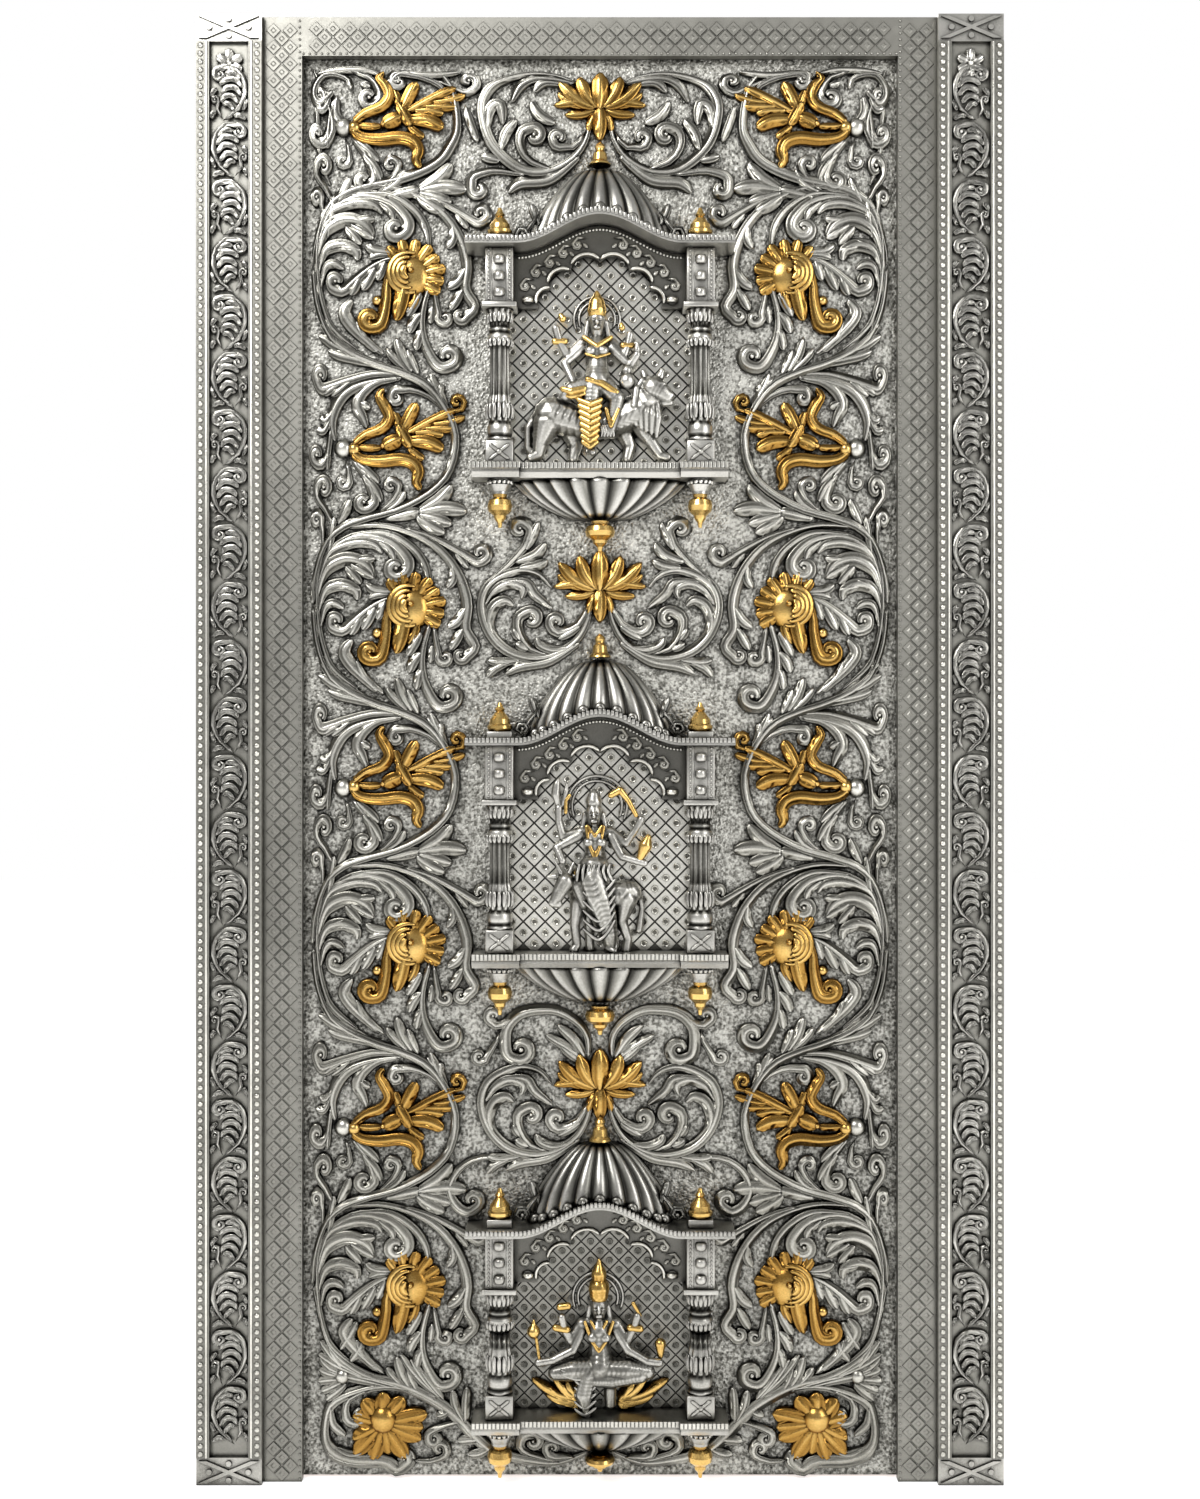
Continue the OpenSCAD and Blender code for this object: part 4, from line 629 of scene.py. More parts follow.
for name, shrine in shrines.items():
    low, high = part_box("canopy_" + name)
    shelfLow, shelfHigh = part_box("shelf_" + name)
    eaveZ, eaveX, eaveD, eaveT = low.z, high.x, groundY - low.y, eave["thick"]
    heap = []
    xs = [eaveX * (k / eave["steps"]) for k in range(-eave["steps"], eave["steps"] + 1)]
    part = fresh()
    rim = [part.verts.new((x, groundY, eaveZ + eaveLift(x))) for x in xs]
    rim += [part.verts.new((x, groundY, eaveZ + eaveLift(x) + eaveT)) for x in reversed(xs)]
    pushed = bmesh.ops.extrude_face_region(part, geom=[part.faces.new(rim)], use_keep_orig=True)["geom"]
    bmesh.ops.translate(part, verts=[g for g in pushed if isinstance(g, bmesh.types.BMVert)], vec=(0, -eaveD, 0))
    pour(part, heap)
    finishPiece("eave_" + name, heap, "silverPlate", "leaf", ("canopy_" + name,), smooth=False)

    heap = []  # dentils on the eave's lip, the dome, its scallops, end scrolls and plinths
    half = eave["dentilHalf"]
    for k in range(-eave["dentils"], eave["dentils"] + 1):
        x = eaveX * k / (eave["dentils"] + 0.5)
        box(heap, (x - half, low.y - 0.0012, eaveZ + eaveLift(x) + 0.0035),
            (x + half, low.y + 0.006, eaveZ + eaveLift(x) + 0.0105), 0.0005)
    foot = lambda x: eaveZ + eaveT - 0.001 + eaveLift(x)
    lobedShell(heap, foot, high.z, dome["reach"], dome["deep"], dome["topReach"], dome["lobes"], dome["bulge"], dome["onion"])
    toEave = lambda x, y: (x, foot(x) + y)
    for k in range(-6, 7):  # scallops round the dome's foot
        x = 0.1 * math.sin(k / 6 * 1.45)
        out = groundY - 0.068 * math.cos(k / 6 * 1.45) ** 0.7
        for r, deep in ((0.0085, 0.004), (0.005, 0.0065)):
            ball(heap, (x, 0.005), r, deep, toEave, out + 0.002, 1, 1)
    for side in (1, -1):
        ends = lambda x, y: (x, eaveZ + eaveT + y)
        blade(heap, [(0.085, 0.05), (0.098, 0.034), (0.112, 0.012)], 0.014, 0.02, ends, groundY - 0.02, side,
              eye=(0.112, 0.016, 0.01))
        blade(heap, [(0.088, 0.03), (0.096, 0.05), (0.1, 0.062)], 0.014, 0.012, ends, groundY - 0.02, side)
        px = side * eave["finialX"]
        box(heap, (px - 0.018, groundY - 0.05, eaveZ + eaveT), (px + 0.018, groundY - 0.014, eaveZ + eaveT + 0.012), 0.0012)
    finishPiece("dome_" + name, heap, "figure", "leaf")

    heap = []  # lobed bowl under the shelf
    bLow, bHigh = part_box("bowl_" + name)
    lobedShell(heap, lambda x: bHigh.z, bLow.z, bHigh.x, groundY - bLow.y, bowl["endReach"], bowl["lobes"], bowl["bulge"])
    finishPiece("bowl_leaves_" + name, heap, "figure", "leaf", ("bowl_" + name,))

    heap = []  # columns with fluted shafts, leaf collars and bracket blocks
    for sideName in ("left", "right"):
        cLow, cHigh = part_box("column_" + sideName + "_" + name)
        x, y, z = (cLow.x + cHigh.x) / 2, (cLow.y + cHigh.y) / 2, cLow.z
        tall = cHigh.z - cLow.z - column["bracket"]
        h = tall - column["plinth"] - column["cap"]
        profile = [(0, 0), (0.019, 0), (0.019, 0.004), (0.0165, 0.007), (0.0185, 0.012), (0.0185, 0.022), (0.0155, 0.027),
                   (0.0175, 0.03), (0.0185, 0.04), (0.0185, 0.052), (0.0165, 0.064), (0.0155, 0.068), (0.0152, 0.09),
                   (0.0148, h - 0.06), (0.0145, h - 0.048), (0.018, h - 0.046), (0.0185, h - 0.042), (0.018, h - 0.038),
                   (0.0152, h - 0.034), (0.0172, h - 0.03), (0.0142, h - 0.026), (0.0155, h - 0.018), (0.019, h - 0.008),
                   (0.0205, h - 0.003), (0.0205, h), (0, h)]
        turned(heap, profile, x, y, z + column["plinth"], [(0.068, h - 0.05, 10, 0.22), (0.029, 0.066, 10, 0.16),
                                                            (h - 0.024, h - 0.002, 12, 0.14)], 60)
        half, wide = column["plinthHalf"], column["capHalf"]
        box(heap, (x - half, y - half, z), (x + half, y + half, z + column["plinth"]), 0.0014)
        box(heap, (x - wide, y - wide, z + tall - column["cap"]), (x + wide, y + wide, z + tall), 0.001)
        box(heap, (x - 0.015, y - 0.019, z + tall), (x + 0.015, y + 0.02, cHigh.z), 0.001)
        for edge in (-1, 1):  # raised borders of the bracket, with beads
            bx = x + edge * column["borderX"]
            box(heap, (bx - 0.005, y - 0.02, z + tall), (bx + 0.005, y + 0.02, cHigh.z), 0.001)
            for k in range(13):
                bead(heap, bx, y - 0.0198, z + tall + 0.005 + 0.0058 * k, 0.0021)
        for k in range(3):
            turned(heap, [(0, -0.006), (0.007, -0.006), (0.0085, -0.003), (0.0085, 0.003), (0.007, 0.006), (0, 0.006)],
                   x, y - 0.018, z + tall + 0.014 + 0.024 * k, steps=16)
        front = lambda u, w: (x + u, z + w)
        for tilt in (1, -1):  # crossed ribbons on the plinth
            blade(heap, [(-0.015, 0.017 - tilt * 0.012), (0, 0.017), (0.015, 0.017 + tilt * 0.012)], 0.006, 0.0024, front,
                  y - 0.0195, root=1, tip=1, groove=0)
        ball(heap, (0, 0.017), 0.005, 0.004, front, y - 0.0195, 1, 1)
        for k in range(9):  # leaves of the collars, standing round the shaft
            a = math.radians(-90 + (k - 4) * 22)
            for base, up, r in ((0.066, 0.024, 0.018), (tall - 0.062, 0.013, 0.0175), (tall - 0.027, 0.017, 0.0165)):
                part = fresh()
                for v in bmesh.ops.create_uvsphere(part, u_segments=8, v_segments=8, radius=1)["verts"]:
                    v.co = (x + math.cos(a) * r + v.co.x * 0.0035 - v.co.y * 0.0012 * math.cos(a),
                            y + math.sin(a) * r + v.co.y * 0.0025, z + base + up / 2 + v.co.z * up / 2)
                pour(part, heap)
    finishPiece("columns_" + name, heap, "figure", "leaf", ("column_left_" + name, "column_right_" + name))

    heap = []  # diamond lattice with a ring in each cell
    pLow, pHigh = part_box("niche_panel_" + name)
    pitch = shrine["lattice"]
    for row in range(int((pHigh.z - pLow.z) / pitch * 2) + 1):
        for col in range(-6, 7):
            x = (col + 0.5 * (row % 2)) * pitch
            z = pLow.z + pitch * 0.5 * (row + 0.6)
            if abs(x) > pHigh.x + pitch * 0.15 or z > eaveZ + eaveLift(x) - pitch * 0.55:
                continue
            frustum(heap, x, pLow.y, z, 4, pitch * 0.482, pitch * 0.445, 0.0016)
            frustum(heap, x, pLow.y - 0.0014, z, 10, 0.0052, 0.0042, 0.0018, 0.0016)
    finishPiece("lattice_" + name, heap, shrine["sheet"], "leaf", smooth=False)

    heap = []  # beads under the eave, spandrel leaves and the rim of the arch
    front = groundY - arch["proud"]
    for k in range(-arch["beads"], arch["beads"] + 1):
        x = eave["bend"] * k / arch["beads"]
        bead(heap, x, front, eaveZ + eaveLift(x) - 0.006, 0.0024)
    at = lambda u, w: (u, eaveZ + w)
    for side in (1, -1):
        for u, w in arch["leaves"]:
            blade(heap, [(u - 0.012, w + 0.004), (u, w + 0.006), (u + 0.008, w - 0.002)], 0.008, 0.004, at, front, side,
                  eye=(u + 0.003, w - 0.006, 0.005))
            blade(heap, [(u - 0.006, w - 0.004), (u - 0.012, w - 0.01)], 0.006, 0.003, at, front, side)
        for fx, fz, r, first, last in arch["foils"]:
            rimLine = arc(fx, fz, r + 0.0015, [first + (last - first) * k / 8 for k in range(9)])
            blade(heap, rimLine, 0.0058, 0.0045, at, front, side, root=1, tip=1, groove=0)
        turned(heap, [(0, -0.0035), (0.009, -0.0035), (0.009, 0.0035), (0, 0.0035)], side * 0.105, front, eaveZ - 0.068,
               steps=20)
    finishPiece("arch_carving_" + name, heap, "silver", "leaf")

    heap = []  # small dentils along the shelf's edge
    half = eave["dentilHalf"]
    for k in range(-shelf["dentils"], shelf["dentils"] + 1):
        x = shelfHigh.x * k / (shelf["dentils"] + 0.5)
        out = shelfLow.y if abs(x) > shelf["stepX"] else shelfLow.y + shelf["step"]
        box(heap, (x - half, out - 0.0012, shelfHigh.z - 0.0078), (x + half, out + 0.004, shelfHigh.z + 0.0006), 0.0005)
    for side in (1, -1):
        for k in range(9):  # leaf fringe round the pendants' collars
            a = math.radians(-90 + (k - 4) * 24)
            bead(heap, side * eave["finialX"] + shelf["collarR"] * math.cos(a),
                 groundY - 0.032 + shelf["collarR"] * math.sin(a), shelfLow.z + 0.017, 0.0034)
    finishPiece("shelf_dentils_" + name, heap, "silver", "leaf", smooth=False)

# Frame: embossed diamonds, pilaster scrolls and beads
strip = dict(pitch=0.0243, plate=0.0112, high=0.0014, beadPitch=0.009, beadR=0.0018)
heap = []


def diamond(x, z):
    frustum(heap, x, faceY, z, 4, strip["plate"], strip["plate"] * 0.88, strip["high"])
    frustum(heap, x, faceY - strip["high"], z, 4, 0.0048, 0.0026, 0.001)


sLow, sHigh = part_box("jamb_sheet_right")
hLow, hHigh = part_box("head_sheet")
pitch = strip["pitch"]
for k in range(int(sHigh.z / pitch * 2)):
    z = pitch * 0.5 * (k + 1)
    if z > sHigh.z - strip["plate"]:
        continue
    for side in (1, -1):
        for u in ((-0.5, 0.5) if k % 2 else (-1, 0, 1)):
            x = sLow.x + 0.029 + u * pitch
            if x - strip["plate"] > sLow.x + 0.003 and x + strip["plate"] < sHigh.x + 0.004:
                diamond(side * x, z)
for k in range(-36, 37):
    for row in range(4):
        x, z = (k + 0.5 * (row % 2)) * pitch, hLow.z + 0.0145 + pitch * 0.5 * row
        if abs(x) < hHigh.x - 0.012 and z < hHigh.z - strip["plate"]:
            diamond(x, z)
for side in (1, -1):
    for k in range(int(sHigh.z / strip["beadPitch"])):
        bead(heap, side * (sLow.x + 0.003), faceY, 0.0045 + strip["beadPitch"] * k, strip["beadR"])
for k in range(-48, 49):
    bead(heap, strip["beadPitch"] * k, faceY, hLow.z + 0.003, strip["beadR"])
finishPiece("embossed_diamonds", heap, "strip", "frame", smooth=False)

pilaster = dict(middle=0.538, half=0.0834, waves=24, low=0.062, rise=0.0105, across=0.00108, rosetteDown=0.071,
                beadPitch=0.0118, beadR=0.0047)
wave = [  # width, points and eye of one half turn, in millimetres across and up
    (9, [(8, -2), (-12, 16), (-21, 38), (-19, 62), (-5, 76), (10, 76)], (13, 66, 8)), (9, [(-15, 58), (-5, 69), (6, 67)]),
    (10, [(-18, 46), (-8, 59), (5, 58), (13, 50)]), (10, [(-17, 34), (-8, 47), (4, 46), (10, 37)]),
    (9, [(-13, 23), (-4, 35), (6, 34), (11, 25)]), (8, [(-7, 13), (1, 24), (9, 22)]),
    (7, [(8, 0), (16, 14), (14, 26)], (19, 29, 5)), (8, [(-6, 5), (-14, 7), (-23, 1)]), (7, [(17, 12), (22, 10), (24, 2)]),
    (6, [(-18, 14), (-22, 22), (-24, 30)]), (7, [(16, 46), (21, 42), (24, 34)])]
heap = []
for side in (1, -1):
    for k in range(pilaster["waves"]):
        lean = 1 if k % 2 else -1
        at = lambda u, w: (pilaster["middle"] + lean * u * pilaster["across"],
                           pilaster["low"] + k * pilaster["half"] + w * 0.001)
        for row in wave:
            blade(heap, row[1], row[0], pilaster["rise"], at, bedY, side, tip=0.35 if len(row) == 2 else None,
                  eye=row[2] if len(row) > 2 else None, fine=0.75, root=0.6)
    rosette = lambda u, w: (pilaster["middle"] + u * 0.001, 2.134 - pilaster["rosetteDown"] + w * 0.001)
    for k in range(6):
        blade(heap, ray(0, 0, 60 * k + 30, (4, 12, 21)), 15, 0.009, rosette, bedY, side, root=0.5, tip=0.5)
    ball(heap, (0, 0), 6, 0.011, rosette, bedY, side, 0.001)
finishPiece("pilaster_leaves", heap, "bed", "frame", ("pilaster_scroll_left", "pilaster_scroll_right"))

heap = []
cLow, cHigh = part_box("pilaster_casing_right")
for side in (1, -1):
    for x in (cLow.x + 0.0065, cHigh.x - 0.0065):
        for k in range(int((cHigh.z - cLow.z) / pilaster["beadPitch"])):
            bead(heap, side * x, cLow.y + 0.0012, cLow.z + pilaster["beadPitch"] * (k + 0.5), pilaster["beadR"])
    for x in (cLow.x + 0.0148, cHigh.x - 0.0148):
        box(heap, (side * x - 0.0018, cLow.y - 0.0012, cLow.z), (side * x + 0.0018, cLow.y + 0.002, cHigh.z), 0.0008)
finishPiece("pilaster_beads", heap, "silver", "frame")

# Screws in the hinge plates' holes
hinge = dict(count=4, high=0.125, plate=0.003, holeIn=(0.008, 0.015), holeEnd=0.011, headR=0.0036, headHigh=0.0014)
for body in ("frame", "leaf"):
    heap = []
    hLow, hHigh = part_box("hinge_plates_" + body)
    step = (hHigh.z - hLow.z - hinge["high"]) / (hinge["count"] - 1)
    for k in range(hinge["count"]):
        for end in (hinge["holeEnd"], hinge["high"] - hinge["holeEnd"]):
            for inset in hinge["holeIn"]:
                part = fresh()
                place = Matrix.Translation((hHigh.x - inset if body == "leaf" else hLow.x + inset,
                                            hLow.y + hinge["plate"] + hinge["headHigh"] * 0.4, hLow.z + k * step + end))
                bmesh.ops.create_cone(part, cap_ends=True, segments=16, radius1=hinge["headR"], radius2=hinge["headR"] * 0.7,
                                      depth=hinge["headHigh"], matrix=place @ Matrix.Rotation(-math.pi / 2, 4, "X"))
                pour(part, heap)
    finishPiece("hinge_screws_" + body, heap, "steel", body, smooth=False)


# Figures: rounded limbs and folds joined into one skin
def limbs(heap, chains, at, base):  # each chain: x, y, out and radius from joint to joint, in drawing units
    for chain in chains:
        for a, b in zip(chain, chain[1:]):
            count = max(2, int((Vector(b[:3]) - Vector(a[:3])).length / (0.45 * min(a[3], b[3])) + 1))
            for k in range(count + 1):
                x, y, out, r = (p + (q - p) * k / count for p, q in zip(a, b))
                px, pz = at(x, y)
                u = view["unit"]
                part = fresh()
                bmesh.ops.create_icosphere(part, subdivisions=2, radius=r * u,
                                           matrix=Matrix.Translation((px, base - out * u, pz)))
                pour(part, heap)


def skin(name, heap, look, replaced, voxel=0.0015):
    rough = bpy.data.objects.new(name + "_limbs", heapMesh(name + "_limbs", heap))
    bpy.context.scene.collection.objects.link(rough)
    remesh = rough.modifiers.new("skin", "REMESH")
    remesh.mode, remesh.voxel_size = "VOXEL", voxel
    made = bmesh.new()
    made.from_mesh(rough.evaluated_get(bpy.context.evaluated_depsgraph_get()).to_mesh())
    bpy.data.objects.remove(rough)
    for _ in range(2):
        bmesh.ops.smooth_vert(made, verts=made.verts, factor=0.5, use_axis_x=True, use_axis_y=True, use_axis_z=True)
    floats = made.verts.layers.float
    layer = floats.get("open") or floats.new("open")
    for v in made.verts:
        v[layer] = 0
    smoothed = []
    pour(made, smoothed)
    finishPiece(name, smoothed, look, "leaf", replaced)


panelY = groundY - 0.0022
figures = dict(
    seated=dict(node="figure_seated", head=(599, 1303, 10), halo=(598, 1298, 25), chains=[
        [(599, 1319, 10, 7), (599, 1329, 11, 12.5), (599, 1342, 12, 10.5), (600, 1353, 13, 12), (600, 1363, 15, 15)],
        [(582, 1322, 10, 6.5), (616, 1322, 10, 6.5)], [(592, 1333, 19, 5), (593, 1333, 19, 5)],
        [(606, 1333, 19, 5), (605, 1333, 19, 5)],
        [(581, 1322, 10, 5.5), (571, 1337, 14, 4.8), (564, 1325, 15, 4), (562, 1314, 15, 4.4)],
        [(617, 1322, 10, 5.5), (627, 1337, 14, 4.8), (634, 1324, 15, 4), (637, 1313, 15, 4.4)],
        [(582, 1328, 12, 5.5), (573, 1346, 17, 4.8), (553, 1355, 20, 4.2), (539, 1357, 21, 4.4)],
        [(616, 1328, 12, 5.5), (628, 1346, 17, 4.8), (647, 1356, 20, 4.2), (659, 1357, 21, 4.4)],
        [(600, 1365, 16, 12), (574, 1365, 18, 11.5), (556, 1368, 18, 8)],
        [(600, 1365, 16, 12), (628, 1365, 18, 11.5), (647, 1367, 18, 8)],
        [(640, 1370, 20, 8), (612, 1374, 22, 8), (592, 1374, 22, 7)],
        [(588, 1370, 20, 10), (584, 1388, 21, 10.5), (586, 1402, 20, 7), (587, 1411, 22, 5)],
        [(610, 1376, 18, 7), (610, 1399, 15, 6)]],
        folds=[[(574, 1372 + 7 * k), (585, 1379 + 7 * k), (597, 1371 + 7 * k)] for k in range(5)]
        + [[(560, 1362 + 4 * k), (580, 1368 + 4 * k), (602, 1360 + 3 * k)] for k in range(2)]
        + [[(640, 1362 + 4 * k), (620, 1368 + 4 * k), (602, 1360 + 3 * k)] for k in range(2)], foldOut=26,
        gold=[[(599, 1292, 12, 10), (599, 1286, 12, 11), (599, 1279, 12, 7), (599, 1272, 12, 8), (599, 1264, 12, 4),
               (599, 1257, 12, 1.5)],
              [(585, 1318, 17, 2), (592, 1336, 20, 2.2), (599, 1346, 21, 2.6), (606, 1336, 20, 2.2), (613, 1318, 17, 2)],
              [(591, 1317, 18, 1.8), (599, 1330, 21, 2), (607, 1317, 18, 1.8)],
              [(534, 1328, 16, 7), (534, 1322, 16, 3), (534, 1317, 16, 1.5)],
              [(536, 1330, 16, 2), (540, 1354, 20, 2)], [(560, 1304, 14, 4), (568, 1303, 14, 4)],
              [(640, 1312, 15, 2), (633, 1300, 15, 2.4)],
              [(660, 1352, 17, 3), (660, 1340, 16, 6)], [(556, 1324, 16, 4), (567, 1326, 16, 4)],
              [(630, 1324, 16, 4), (640, 1325, 16, 4)]]),
    bullRider=dict(node="figure_bull_rider", head=(594, 812, 10), halo=(597, 806, 30), chains=[
        [(595, 829, 10, 7), (595, 838, 11, 12), (595, 848, 12, 10.5), (595, 858, 12, 11), (595, 868, 14, 15)],
        [(581, 832, 10, 6), (609, 832, 10, 6)], [(588, 842, 19, 5), (589, 842, 19, 5)], [(602, 842, 19, 5), (601, 842, 19, 5)],
        [(580, 832, 10, 5.5), (563, 836, 13, 4.5), (559, 820, 14, 3.8), (559, 808, 14, 4.2)],
        [(558, 804, 14, 3), (556, 794, 14, 5), (557, 784, 14, 4), (559, 778, 14, 1.5)],
        [(563, 804, 14, 2.5), (566, 792, 14, 3), (567, 784, 14, 1.5)],
        [(611, 832, 10, 5.5), (626, 843, 13, 4.5), (635, 830, 14, 3.8), (641, 819, 14, 4.2)],
        [(580, 835, 12, 5.5), (557, 847, 16, 4.5), (563, 860, 21, 4)],
        [(611, 836, 12, 5.5), (622, 856, 16, 4.5), (644, 862, 21, 4)],
        [(594, 868, 15, 16), (593, 880, 18, 17), (598, 896, 20, 16), (604, 915, 20, 13), (608, 932, 20, 10), (610, 941, 20, 7)],
        [(608, 946, 22, 4), (614, 949, 25, 3.6)], [(584, 872, 18, 10), (578, 884, 20, 8), (586, 902, 20, 7)]],
        folds=[[(582, 880 + 9 * k), (600, 892 + 9 * k), (616, 876 + 8 * k)] for k in range(6)]
        + [[(580 + 5 * k, 862), (578 + 5 * k, 870), (577 + 6 * k, 880)] for k in range(7)], foldOut=30,
        gold=[[(586, 826, 18, 1.8), (590, 845, 21, 2.2), (595, 857, 22, 2.6), (600, 845, 21, 2.2), (604, 826, 18, 1.8)],
              [(588, 825, 18, 1.6), (595, 836, 21, 2), (602, 825, 18, 1.6)],
              [(611, 795, 14, 3.5), (620, 790, 15, 4), (628, 800, 15, 3), (636, 815, 15, 2.6)],
              [(640, 857, 20, 4), (645, 845, 20, 7), (648, 836, 20, 3)],
              [(566, 812, 15, 2.2), (566, 800, 15, 2.2), (570, 795, 15, 2)],
              [(577, 872, 24, 4), (577, 876, 24, 3)]]),
    lionRider=dict(node="figure_lion_rider", head=(597, 322, 10), halo=(597, 319, 23), chains=[
        [(597, 341, 10, 7), (597, 351, 11, 12), (597, 362, 12, 10), (597, 374, 13, 12), (597, 385, 15, 15)],
        [(582, 345, 10, 6), (612, 345, 10, 6)], [(590, 354, 19, 5), (591, 354, 19, 5)], [(604, 354, 19, 5), (603, 354, 19, 5)],
        [(581, 345, 10, 5.5), (568, 358, 14, 4.6), (560, 344, 15, 4), (556, 331, 15, 4.4)],
        [(613, 345, 10, 5.5), (624, 358, 14, 4.6), (628, 347, 15, 4), (630, 337, 15, 4.2)],
        [(582, 350, 12, 5.5), (565, 366, 16, 4.6), (573, 384, 21, 4.2)],
        [(612, 350, 12, 5.5), (630, 368, 16, 4.4), (637, 358, 19, 4.2)],
        [(637, 353, 20, 3.6), (637, 347, 20, 2.6)], [(627, 385, 20, 8.5), (627, 384, 20, 8.5)],
        [(627, 377, 20, 4.5), (627, 374, 20, 5.5)],
        [(590, 388, 17, 11), (572, 394, 21, 9), (566, 399, 22, 6)],
        [(606, 390, 17, 11), (617, 402, 21, 8.5), (613, 422, 21, 7), (610, 436, 21, 5)],
        [(592, 392, 19, 11), (590, 420, 21, 9), (592, 446, 21, 6.5)], [(591, 452, 22, 4.2), (593, 456, 24, 3.6)]],
        folds=[[(600 + 2.2 * k, 428), (602 + 2.6 * k, 434), (601 + 3.2 * k, 441)] for k in range(5)], foldOut=24,
        gold=[[(597, 313, 12, 10), (597, 306, 12, 8.5), (597, 300, 12, 5), (597, 294, 12, 2)],
              [(584, 340, 17, 2.4), (597, 350, 20, 3.4), (611, 340, 17, 2.4)],
              [(586, 357, 20, 1.8), (597, 361, 22, 2), (609, 357, 20, 1.8)],
              [(588, 384, 26, 3.5), (602, 388, 27, 4), (616, 397, 25, 4)],
              [(584, 393, 26, 4), (572, 396, 27, 4.5), (563, 393, 25, 3)],
              [(584, 398, 26, 3), (572, 401, 27, 3), (564, 399, 25, 2)]]
        + [[(579 + 0.6 * k, 404 + 6 * k, 27, 2.6), (590, 409 + 6 * k, 31 - 0.4 * k, 3), (601 - 0.6 * k, 404 + 6 * k, 27, 2.6)]
           for k in range(8)]
        + [[(606, 413, 26, 2.4), (611, 430, 27, 2.6), (618, 413, 26, 2.4)], [(563, 321, 14, 4), (561, 318, 14, 3)],
           [(622, 330, 14, 3.5), (621, 326, 14, 2)],
           [(555, 344, 16, 3.6), (565, 344, 16, 3.6)], [(623, 348, 16, 3.4), (632, 348, 16, 3.4)]]))
animals = dict(
    lion=dict(node="lion", look="figure", chains=[
        [(552, 416, 9, 19), (580, 424, 8, 17), (612, 424, 8, 16), (636, 414, 10, 19), (646, 406, 11, 18)],
        [(653, 391, 17, 12.5), (662, 396, 20, 9.5), (667, 400, 21, 7)], [(667, 397, 24, 3.4), (671, 399, 24, 2.8)],
        [(664, 406, 21, 4.5), (670, 406, 21, 3.5)],
        [(658, 388, 26, 2.4), (664, 388, 25, 2)], [(645, 380, 15, 4.5), (643, 374, 15, 3)],
        [(660, 379, 15, 4.5), (662, 373, 15, 3)],
        [(548, 424, 12, 15), (541, 444, 12, 8), (539, 456, 12, 5.5), (531, 459, 14, 4.6)],
        [(570, 430, 6, 11), (576, 446, 6, 7), (573, 459, 8, 5)],
        [(640, 424, 12, 12), (650, 442, 13, 7), (660, 457, 13, 5), (667, 459, 14, 4.6)],
        [(624, 430, 6, 10), (630, 446, 6, 6.5), (627, 459, 8, 5)],
        [(540, 410, 5, 4.4), (528, 428, 5, 3.8), (528, 448, 5, 3.8), (537, 459, 5, 5)]]
        + [[(636 + 5 * k, 392 + 3 * k, 22, 3.4), (634 + 6 * k, 410 + 3 * k, 25, 3.6), (636 + 5 * k, 428 + 3 * k, 22, 2)]
           for k in range(5)]
        + [[(642 + 7 * k, 384 - 2 * (k % 2), 20, 3.4), (635 + 5 * k, 394, 20, 3.4)] for k in range(3)]),
    bull=dict(node="bull", look="figure", chains=[
        [(582, 892, 9, 14), (600, 897, 9, 15), (622, 894, 9, 15), (630, 892, 9, 12)], [(582, 886, 13, 11), (570, 880, 19, 9.5)],
        [(566, 880, 24, 9), (560, 890, 26, 7.5), (556, 899, 27, 6)], [(553, 901, 28, 4.4), (559, 902, 28, 4.4)],
        [(575, 875, 24, 3.4), (584, 873, 22, 2.2)], [(556, 875, 23, 3), (548, 876, 22, 2)],
        [(570, 871, 24, 2.6), (574, 861, 23, 1.4)],
        [(561, 871, 24, 2.6), (556, 861, 23, 1.4)],
        [(578, 902, 13, 8.5), (575, 924, 13, 5.6), (577, 944, 13, 4.6), (574, 949, 14, 4.8)],
        [(590, 904, 7, 7), (589, 928, 7, 5), (590, 948, 8, 4.6)],
        [(626, 898, 12, 12), (621, 920, 12, 6.4), (628, 938, 12, 4.6), (626, 949, 13, 4.8)],
        [(616, 902, 6, 9), (612, 928, 6, 5), (615, 948, 7, 4.6)], [(638, 888, 6, 3), (642, 908, 6, 2.6), (639, 930, 6, 4)]]),
    lotusSeat=dict(node="lotus_seat", look="gilt", chains=[]))
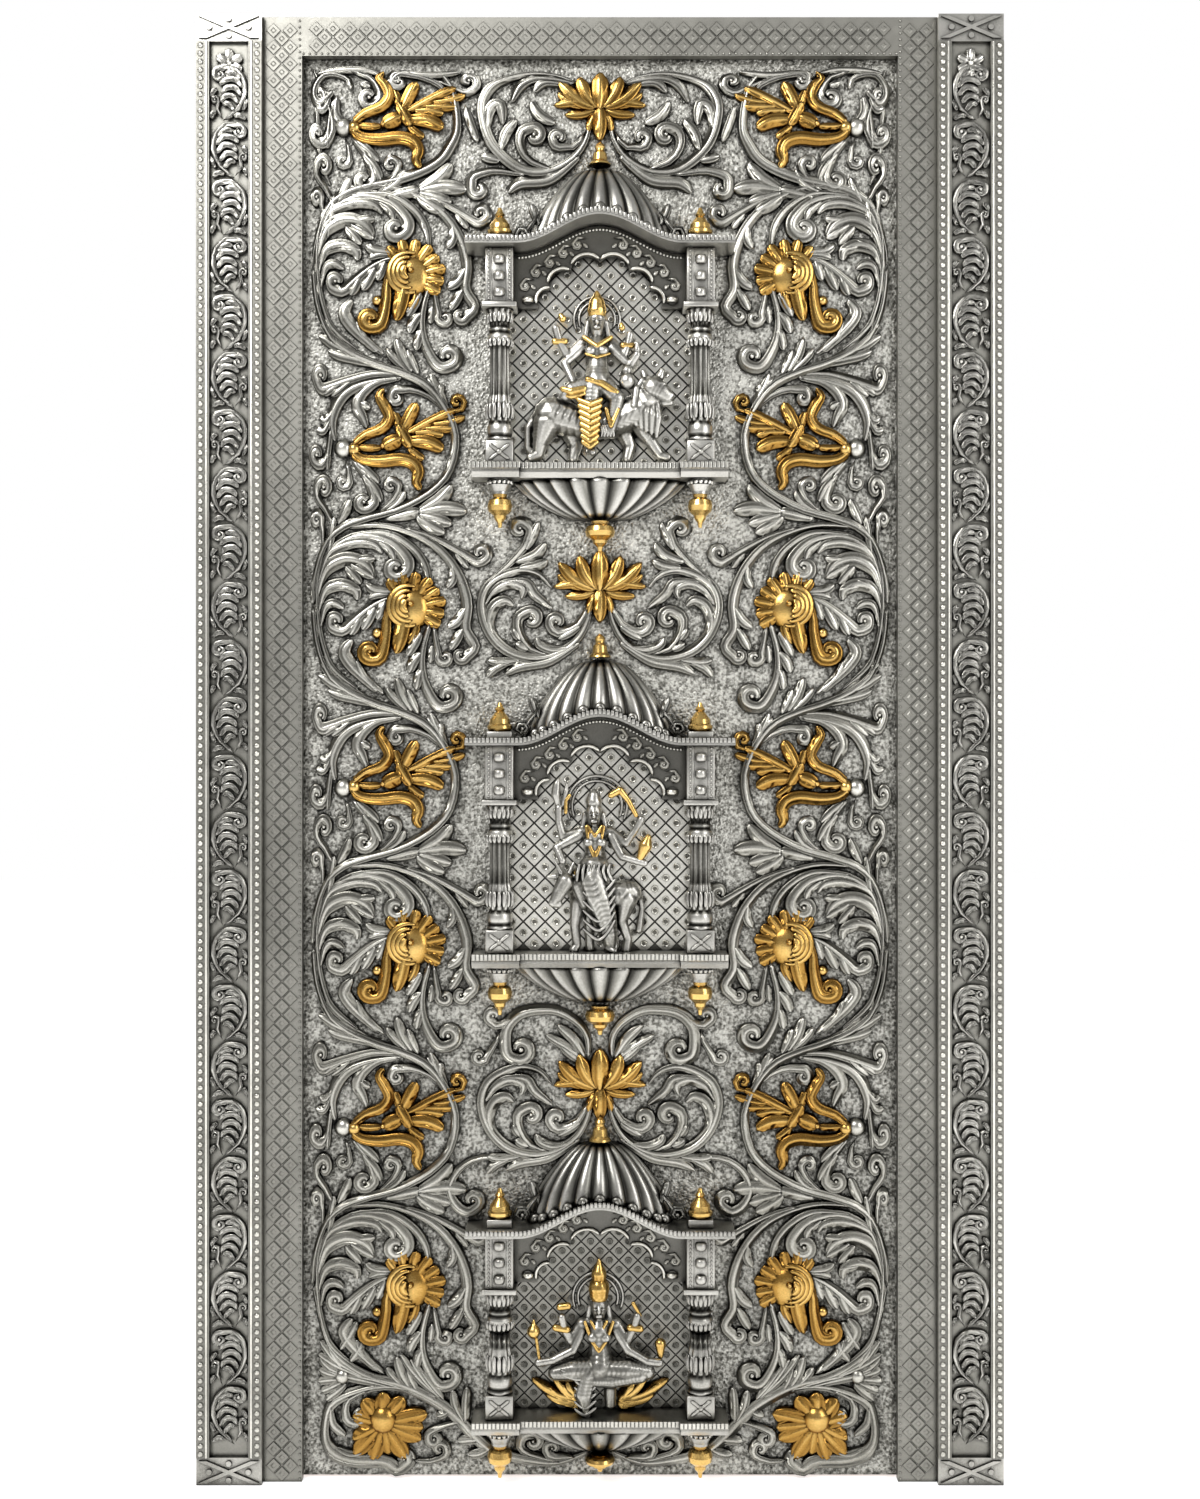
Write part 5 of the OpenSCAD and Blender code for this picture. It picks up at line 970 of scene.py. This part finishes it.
for name, part in figures.items():
    heap = []
    limbs(heap, part["chains"], drawn, panelY)
    hx, hy, hr = part["head"]
    limbs(heap, [[(hx, hy - 1, 12, hr - 1.5), (hx, hy + 5, 13, hr - 3), (hx, hy + 16, 11, 5.5)],  # plain oval face on a neck
               [(hx, hy + 1, 20, 2.2), (hx, hy + 4, 21.5, 2.2)], [(hx - 2, hy + 9, 20, 1.6), (hx + 2, hy + 9, 20, 1.6)],
               [(hx - 9, hy + 2, 10, 3), (hx - 11, hy + 14, 10, 3), (hx - 13, hy + 22, 10, 2.5)],
               [(hx + 9, hy + 2, 10, 3), (hx + 11, hy + 14, 10, 3), (hx + 13, hy + 22, 10, 2.5)]]
          + ([[(hx, hy - 10, 11, 8.5), (hx, hy - 16, 11, 6.5), (hx, hy - 22, 11, 2)]] if name == "bullRider" else []),
          drawn, panelY)
    skin(part["node"] + "_body", heap, "figure", (part["node"],))
    heap = []
    for points in part["folds"]:
        blade(heap, points, 4.5, 0.0045, y=panelY - (part["foldOut"] - 1.5) * view["unit"], root=0.5, tip=0.5, groove=0)
    cx, cy, r = part["halo"]
    for ring in (r, r - 5):
        blade(heap, arc(cx, cy, ring, range(150, 391, 12)), 3.6, 0.0045, y=panelY, root=1, tip=1, groove=0)
    for k in range(22):
        blade(heap, ray(cx, cy, 150 + 11 * k, (r - 4, r)), 2, 0.002, y=panelY, groove=0)
    for k in (-1, 1):  # closed lids
        blade(heap, [(hx + k * 1.6, hy + 1), (hx + k * 3.6, hy + 1.8), (hx + k * 5.6, hy + 0.6)], 1.5, 0.002,
              y=panelY - 20.4 * view["unit"], groove=0)
    finishPiece(part["node"] + "_folds", heap, "figure", "leaf")
    heap = []
    limbs(heap, part["gold"], drawn, panelY)
    skin(part["node"] + "_gold", heap, "gilt", (), 0.0014)
for name, part in animals.items():
    heap = []
    if part["chains"]:
        limbs(heap, part["chains"], drawn, panelY)
        skin(name + "_body", heap, part["look"], (part["node"],))
        continue
    for flip in (1, -1):  # lotus petals each side of the drape
        for x, y, width in ((553, 1376, 13), (566, 1380, 15), (531, 1378, 12), (545, 1393, 12), (558, 1397, 12),
                            (571, 1402, 11)):
            blade(heap, [(582, 1400), ((582 + x) / 2, (1408 + y) / 2), (x, y)], width, 0.014, y=panelY, flip=flip,
                  root=0.6, tip=0.1, groove=-0.2)
    finishPiece("lotus_petals", heap, "gilt", "leaf", (part["node"],))

# Studio
bm = bmesh.new()
bmesh.ops.create_grid(bm, x_segments=1, y_segments=1, size=12)
mesh = bpy.data.meshes.new("studio_floor")
bm.to_mesh(mesh)
bm.free()
floor = bpy.data.objects.new("studio_floor", mesh)
bpy.context.scene.collection.objects.link(floor)
pale = Look("pale_floor")
pale.set(Base_Color=(0.95, 0.95, 0.95, 1), Roughness=0.9, Emission_Color=(1, 1, 1, 1), Emission_Strength=0.66)
mesh.materials.append(pale.material)

world = bpy.data.worlds.new("studio")
world.use_nodes = True
bpy.context.scene.world = world
tree = world.node_tree
rays = tree.nodes.new("ShaderNodeLightPath")
mix = tree.nodes.new("ShaderNodeMix")
mix.inputs["A"].default_value, mix.inputs["B"].default_value = 0.38, 1.0
tree.links.new(rays.outputs["Is Camera Ray"], mix.inputs["Factor"])
tree.nodes["Background"].inputs["Color"].default_value = (1, 1, 1, 1)
tree.links.new(mix.outputs["Result"], tree.nodes["Background"].inputs["Strength"])

lamps = dict(
    key=dict(place=(-1.6, -2.4, 3.6), aim=(0, 0, 1.1), size=(1.6, 1.6), power=95),
    fill=dict(place=(2.4, -2.2, 2.0), aim=(0, 0, 1.0), size=(1.2, 2.4), power=40),
    back=dict(place=(0.5, 3.0, 2.8), aim=(0, 0, 1.0), size=(2.4, 2.4), power=60))
for name, lamp in lamps.items():
    data = bpy.data.lights.new(name, "AREA")
    data.shape, data.energy = "RECTANGLE", lamp["power"]
    data.size, data.size_y = lamp["size"]
    hung = bpy.data.objects.new(name, data)
    facing = (Vector(lamp["aim"]) - Vector(lamp["place"])).to_track_quat("-Z", "Y")
    hung.matrix_world = Matrix.Translation(lamp["place"]) @ facing.to_matrix().to_4x4()
    bpy.context.scene.collection.objects.link(hung)

camera = bpy.data.cameras.new("camera")
camera.sensor_fit = "VERTICAL"
camera.angle_y = 2 * math.atan(view["frameTall"] / 2 / view["distance"])
stand = bpy.data.objects.new("camera", camera)
stand.matrix_world = Matrix.Translation((0, faceY - view["distance"], view["height"])) @ Matrix.Rotation(math.pi / 2, 4, "X")
bpy.context.scene.collection.objects.link(stand)
bpy.context.scene.camera = stand
bpy.context.scene.view_settings.view_transform = "Standard"

bpy.context.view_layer.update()
